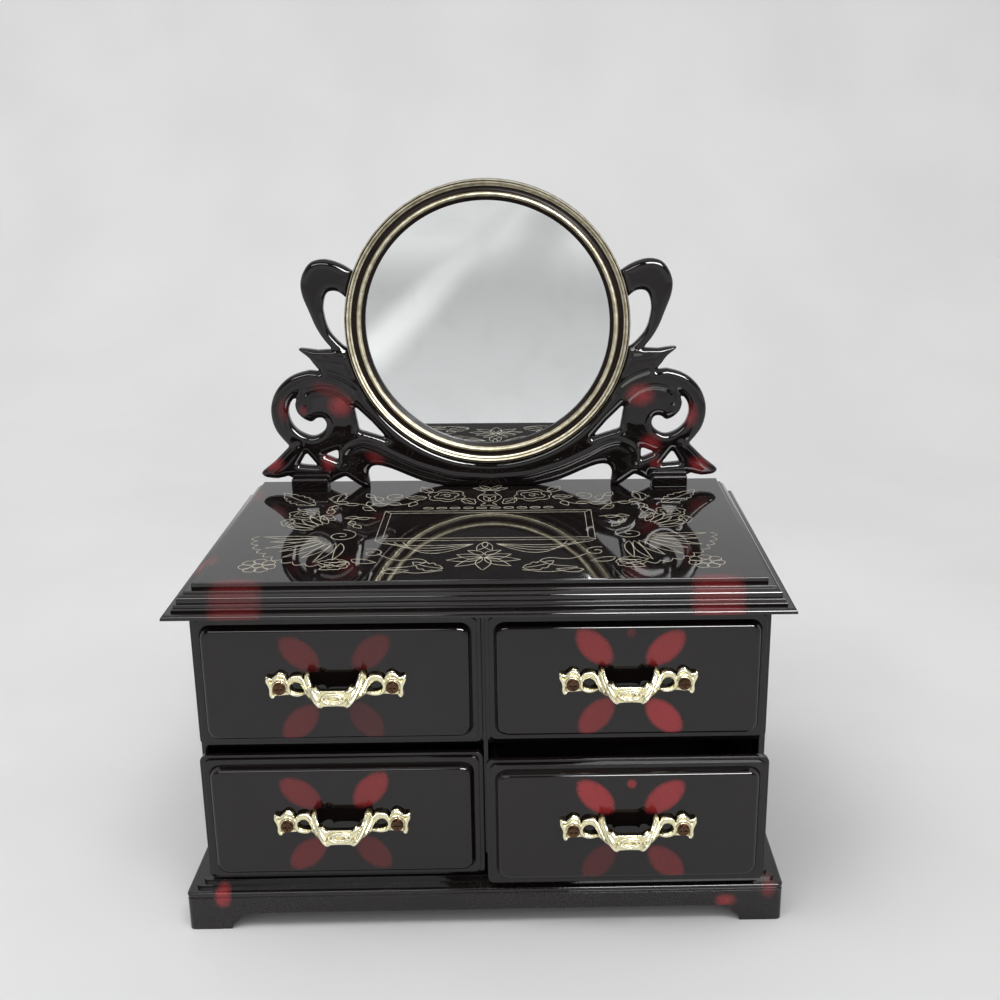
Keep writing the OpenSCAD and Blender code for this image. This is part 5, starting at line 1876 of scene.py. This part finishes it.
    def copy_for(self, node: str, name: str) -> Piece:
        """Return the pull for another drawer, in that drawer's place."""
        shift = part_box(node)[0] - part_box(self.node)[0]
        return twin_of(self.piece, name, shift)


@dataclass
class DrawerUnit:
    """One drawer: its panelled front, pull, screws, tray and velvet lining."""

    side: Side
    row: Row
    petals: tuple[Triple, ...]
    dots: tuple[Triple, ...] = ()
    petal_half: Pair = (8.9, 5.1)
    dot_r: float = 2.1
    petal_edge: float = 0.5
    dot_edge: float = 0.6
    spray_reach: float = 14
    plate_t: float = 1.8
    plate_r: float = 2.2
    flange_in: float = 1.3
    flange_t: float = 1.0
    step_edge: float = 0.15
    panel_in: float = 2.9
    panel_r: float = 3.7
    panel_edge: float = 1.3
    panel_edge_parts: int = 8
    panel_lean: float = 25
    tray_rounding: float = 0.3
    lining_wave: float = 0.18
    lining_t: float = 0.7
    lining_lift: float = 0.2
    lining_edge: float = 0.2
    lining_edge_faces: int = 2
    lining_parts: tuple[int, int] = (64, 54)
    wave_rate: Pair = (0.21, 0.17)
    wave_start: Pair = (1.3, 0.4)

    @property
    def bay(self) -> str:
        """Name of the drawer's place."""
        return f"{self.row.value}_{self.side.value}"

    @property
    def body(self) -> str:
        """Name of the body that the drawer is."""
        return f"drawer_{self.bay}"

    def build(self, casting: PullCasting, tray_finish: Material, velvet: Material, bronze: Material) -> None:
        """Make and dress the drawer.

        Args:
            casting: the pull.
            tray_finish: what the tray is moulded of.
            velvet: the lining's cloth.
            bronze: the finish of the screws.
        """
        front = self.front()
        dress(front, Lacquer(f"front_lacquer_{self.bay}", self.dabs()).make())
        place(front, self.body, f"drawer_front_{self.bay}")
        tray = f"moulded_tray_{self.bay}"
        rounded(f"drawer_tray_{self.bay}", tray, self.tray_rounding, tray_finish, self.body)
        node = f"drawer_pull_{self.bay}"
        pull = casting.piece if node == casting.node else casting.copy_for(node, f"cast_pull_{self.bay}")
        place(pull, self.body, node)
        repaint(f"pull_screws_{self.bay}", bronze)
        self.lining(velvet)

    def front(self) -> Piece:
        """Return the front: a flanged plate with a raised panel whose edge is rounded."""
        low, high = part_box(f"drawer_front_{self.bay}")
        size = ((high.x - low.x) / MM, (high.z - low.z) / MM)
        foot, face = self.plate_t + self.flange_t, (high.y - low.y) / MM
        rim = [
            (0, 0), *nose(0, self.plate_t, self.step_edge), (self.flange_in, self.plate_t),
            *nose(self.flange_in, foot, self.step_edge),
        ]
        plate = stepped_panel("front_plate", size, self.plate_r, rim)
        inner = tuple(side - 2 * self.panel_in for side in size)
        lean = math.radians(self.panel_lean)
        rise = face - foot - self.panel_edge * (1 - math.sin(lean))
        top = nose(rise * math.tan(lean), face, self.panel_edge, self.panel_edge_parts, self.panel_lean)
        panel = stepped_panel("front_panel", inner, self.panel_r, [(0, self.plate_t), (0, foot), *top])
        front = joined([plate, panel], f"panelled_front_{self.bay}")
        take(front)
        bpy.ops.transform.translate(value=((low.x + high.x) / 2, high.y, (low.z + high.z) / 2))
        settle()
        shade(front)
        return front

    def dabs(self) -> tuple[Dab, ...]:
        """Return the front's sprayed petals and dots, in the whole object's place."""
        low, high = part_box(f"drawer_front_{self.bay}")
        x, y, z = (low.x + high.x) / 2 / MM, low.y / MM, (low.z + high.z) / 2 / MM
        petal = (self.petal_half[0], self.spray_reach, self.petal_half[1])
        dot = (self.dot_r, self.spray_reach, self.dot_r)
        dabs = []
        for dx, dz, cover in self.petals:
            turn = math.degrees(math.atan2(dz, dx))
            dabs.append(Dab((x + dx, y, z + dz), petal, turn, cover, self.petal_edge, Spray.PETAL))
        for dx, dz, cover in self.dots:
            dabs.append(Dab((x + dx, y, z + dz), dot, 0, cover, self.dot_edge))
        return tuple(dabs)

    def lining(self, velvet: Material) -> None:
        """Lay the velvet on the tray's floor, in a slight wave.

        Args:
            velvet: the lining's cloth.
        """
        node = f"drawer_lining_{self.bay}"
        low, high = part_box(node)
        size = high - low
        deselect()
        middle = ((low.x + high.x) / 2, (low.y + high.y) / 2, low.z)
        across, along = self.lining_parts
        bpy.ops.mesh.primitive_grid_add(x_subdivisions=across, y_subdivisions=along, size=1, location=middle)
        cloth = named(bpy.context.object, f"velvet_lining_{self.bay}")
        bpy.ops.transform.resize(value=(size.x, size.y, 1))
        settle()
        points = points_of(cloth)
        wave = np.sin(points[:, :2] * self.wave_rate + self.wave_start).prod(axis=1)
        points[:, 2] += self.lining_lift + self.lining_wave * (1 + wave) / 2
        set_points(cloth, points)
        finish_with(cloth, "SOLIDIFY", thickness=self.lining_t * MM, offset=1)
        finish_with(cloth, "BEVEL", width=self.lining_edge * MM, segments=self.lining_edge_faces,
                    limit_method="ANGLE", angle_limit=CORNER_ANGLE)
        smooth(cloth)
        dress(cloth, velvet)
        place(cloth, self.body, node)


@dataclass
class Movement:
    """Clockwork movement with its winding key, and the lever that stops it."""

    key_rounding: float = 0.5

    def build(self) -> None:
        """Dress the movement and round its key."""
        brass = BRASS.make()
        dressed = (
            (brass, ("spring_barrel", "cylinder_brackets", "governor_bracket", "lever_bracket", "drive_gear",
                     "pinned_cylinder", "cylinder_gear")),
            (STEEL.make(), ("movement_screws", "mainspring", "comb_screws", "winding_arbor", "stop_lever",
                            "governor_fan")),
            (CASTING.make(), ("movement_bedplate",)),
            (COMB_STEEL.make(), ("comb",)),
        )
        for material, nodes in dressed:
            for node in nodes:
                repaint(node, material)
        rounded("winding_key", "rounded_winding_key", self.key_rounding, brass, "winding_train")


def main() -> None:
    """Build the studio and the box, piece by piece."""
    logging.basicConfig(level=logging.INFO, format="%(name)s: %(message)s")
    Studio().build()
    Carcass().build()
    TopBoard().build()
    MirrorStand().build()
    casting = PullCasting()
    casting.build()
    tray_finish = SatinPlastic("satin_tray_plastic").make()
    velvet, bronze = Velvet("short_red_velvet").make(), BRONZED.make()
    drawers = (
        DrawerUnit(
            Side.LEFT, Row.UPPER,
            ((-11.5, 10.8, 0.34), (11.3, 11.2, 0.28), (-12.3, -13.3, 0.32), (9.0, -12.8, 0.18)),
        ),
        DrawerUnit(
            Side.RIGHT, Row.UPPER,
            ((-11.0, 12.1, 0.8), (11.9, 11.5, 0.84), (-10.2, -12.4, 0.64), (11.8, -12.7, 1)),
            ((0.8, 16.9, 0.25),),
        ),
        DrawerUnit(
            Side.LEFT, Row.LOWER,
            ((-13.5, 10.7, 0.46), (9.5, 11.7, 0.7), (-12.0, -11.7, 0.38), (9.5, -11.4, 0.28)),
        ),
        DrawerUnit(
            Side.RIGHT, Row.LOWER,
            ((-10.7, 11.1, 1), (11.9, 10.8, 0.92), (-9.5, -13.2, 0.22), (12.8, -13.6, 0.42)),
            ((1.0, 15.7, 0.75),),
        ),
    )
    for drawer in drawers:
        drawer.build(casting, tray_finish, velvet, bronze)
    Movement().build()


if __name__ == "__main__":
    main()
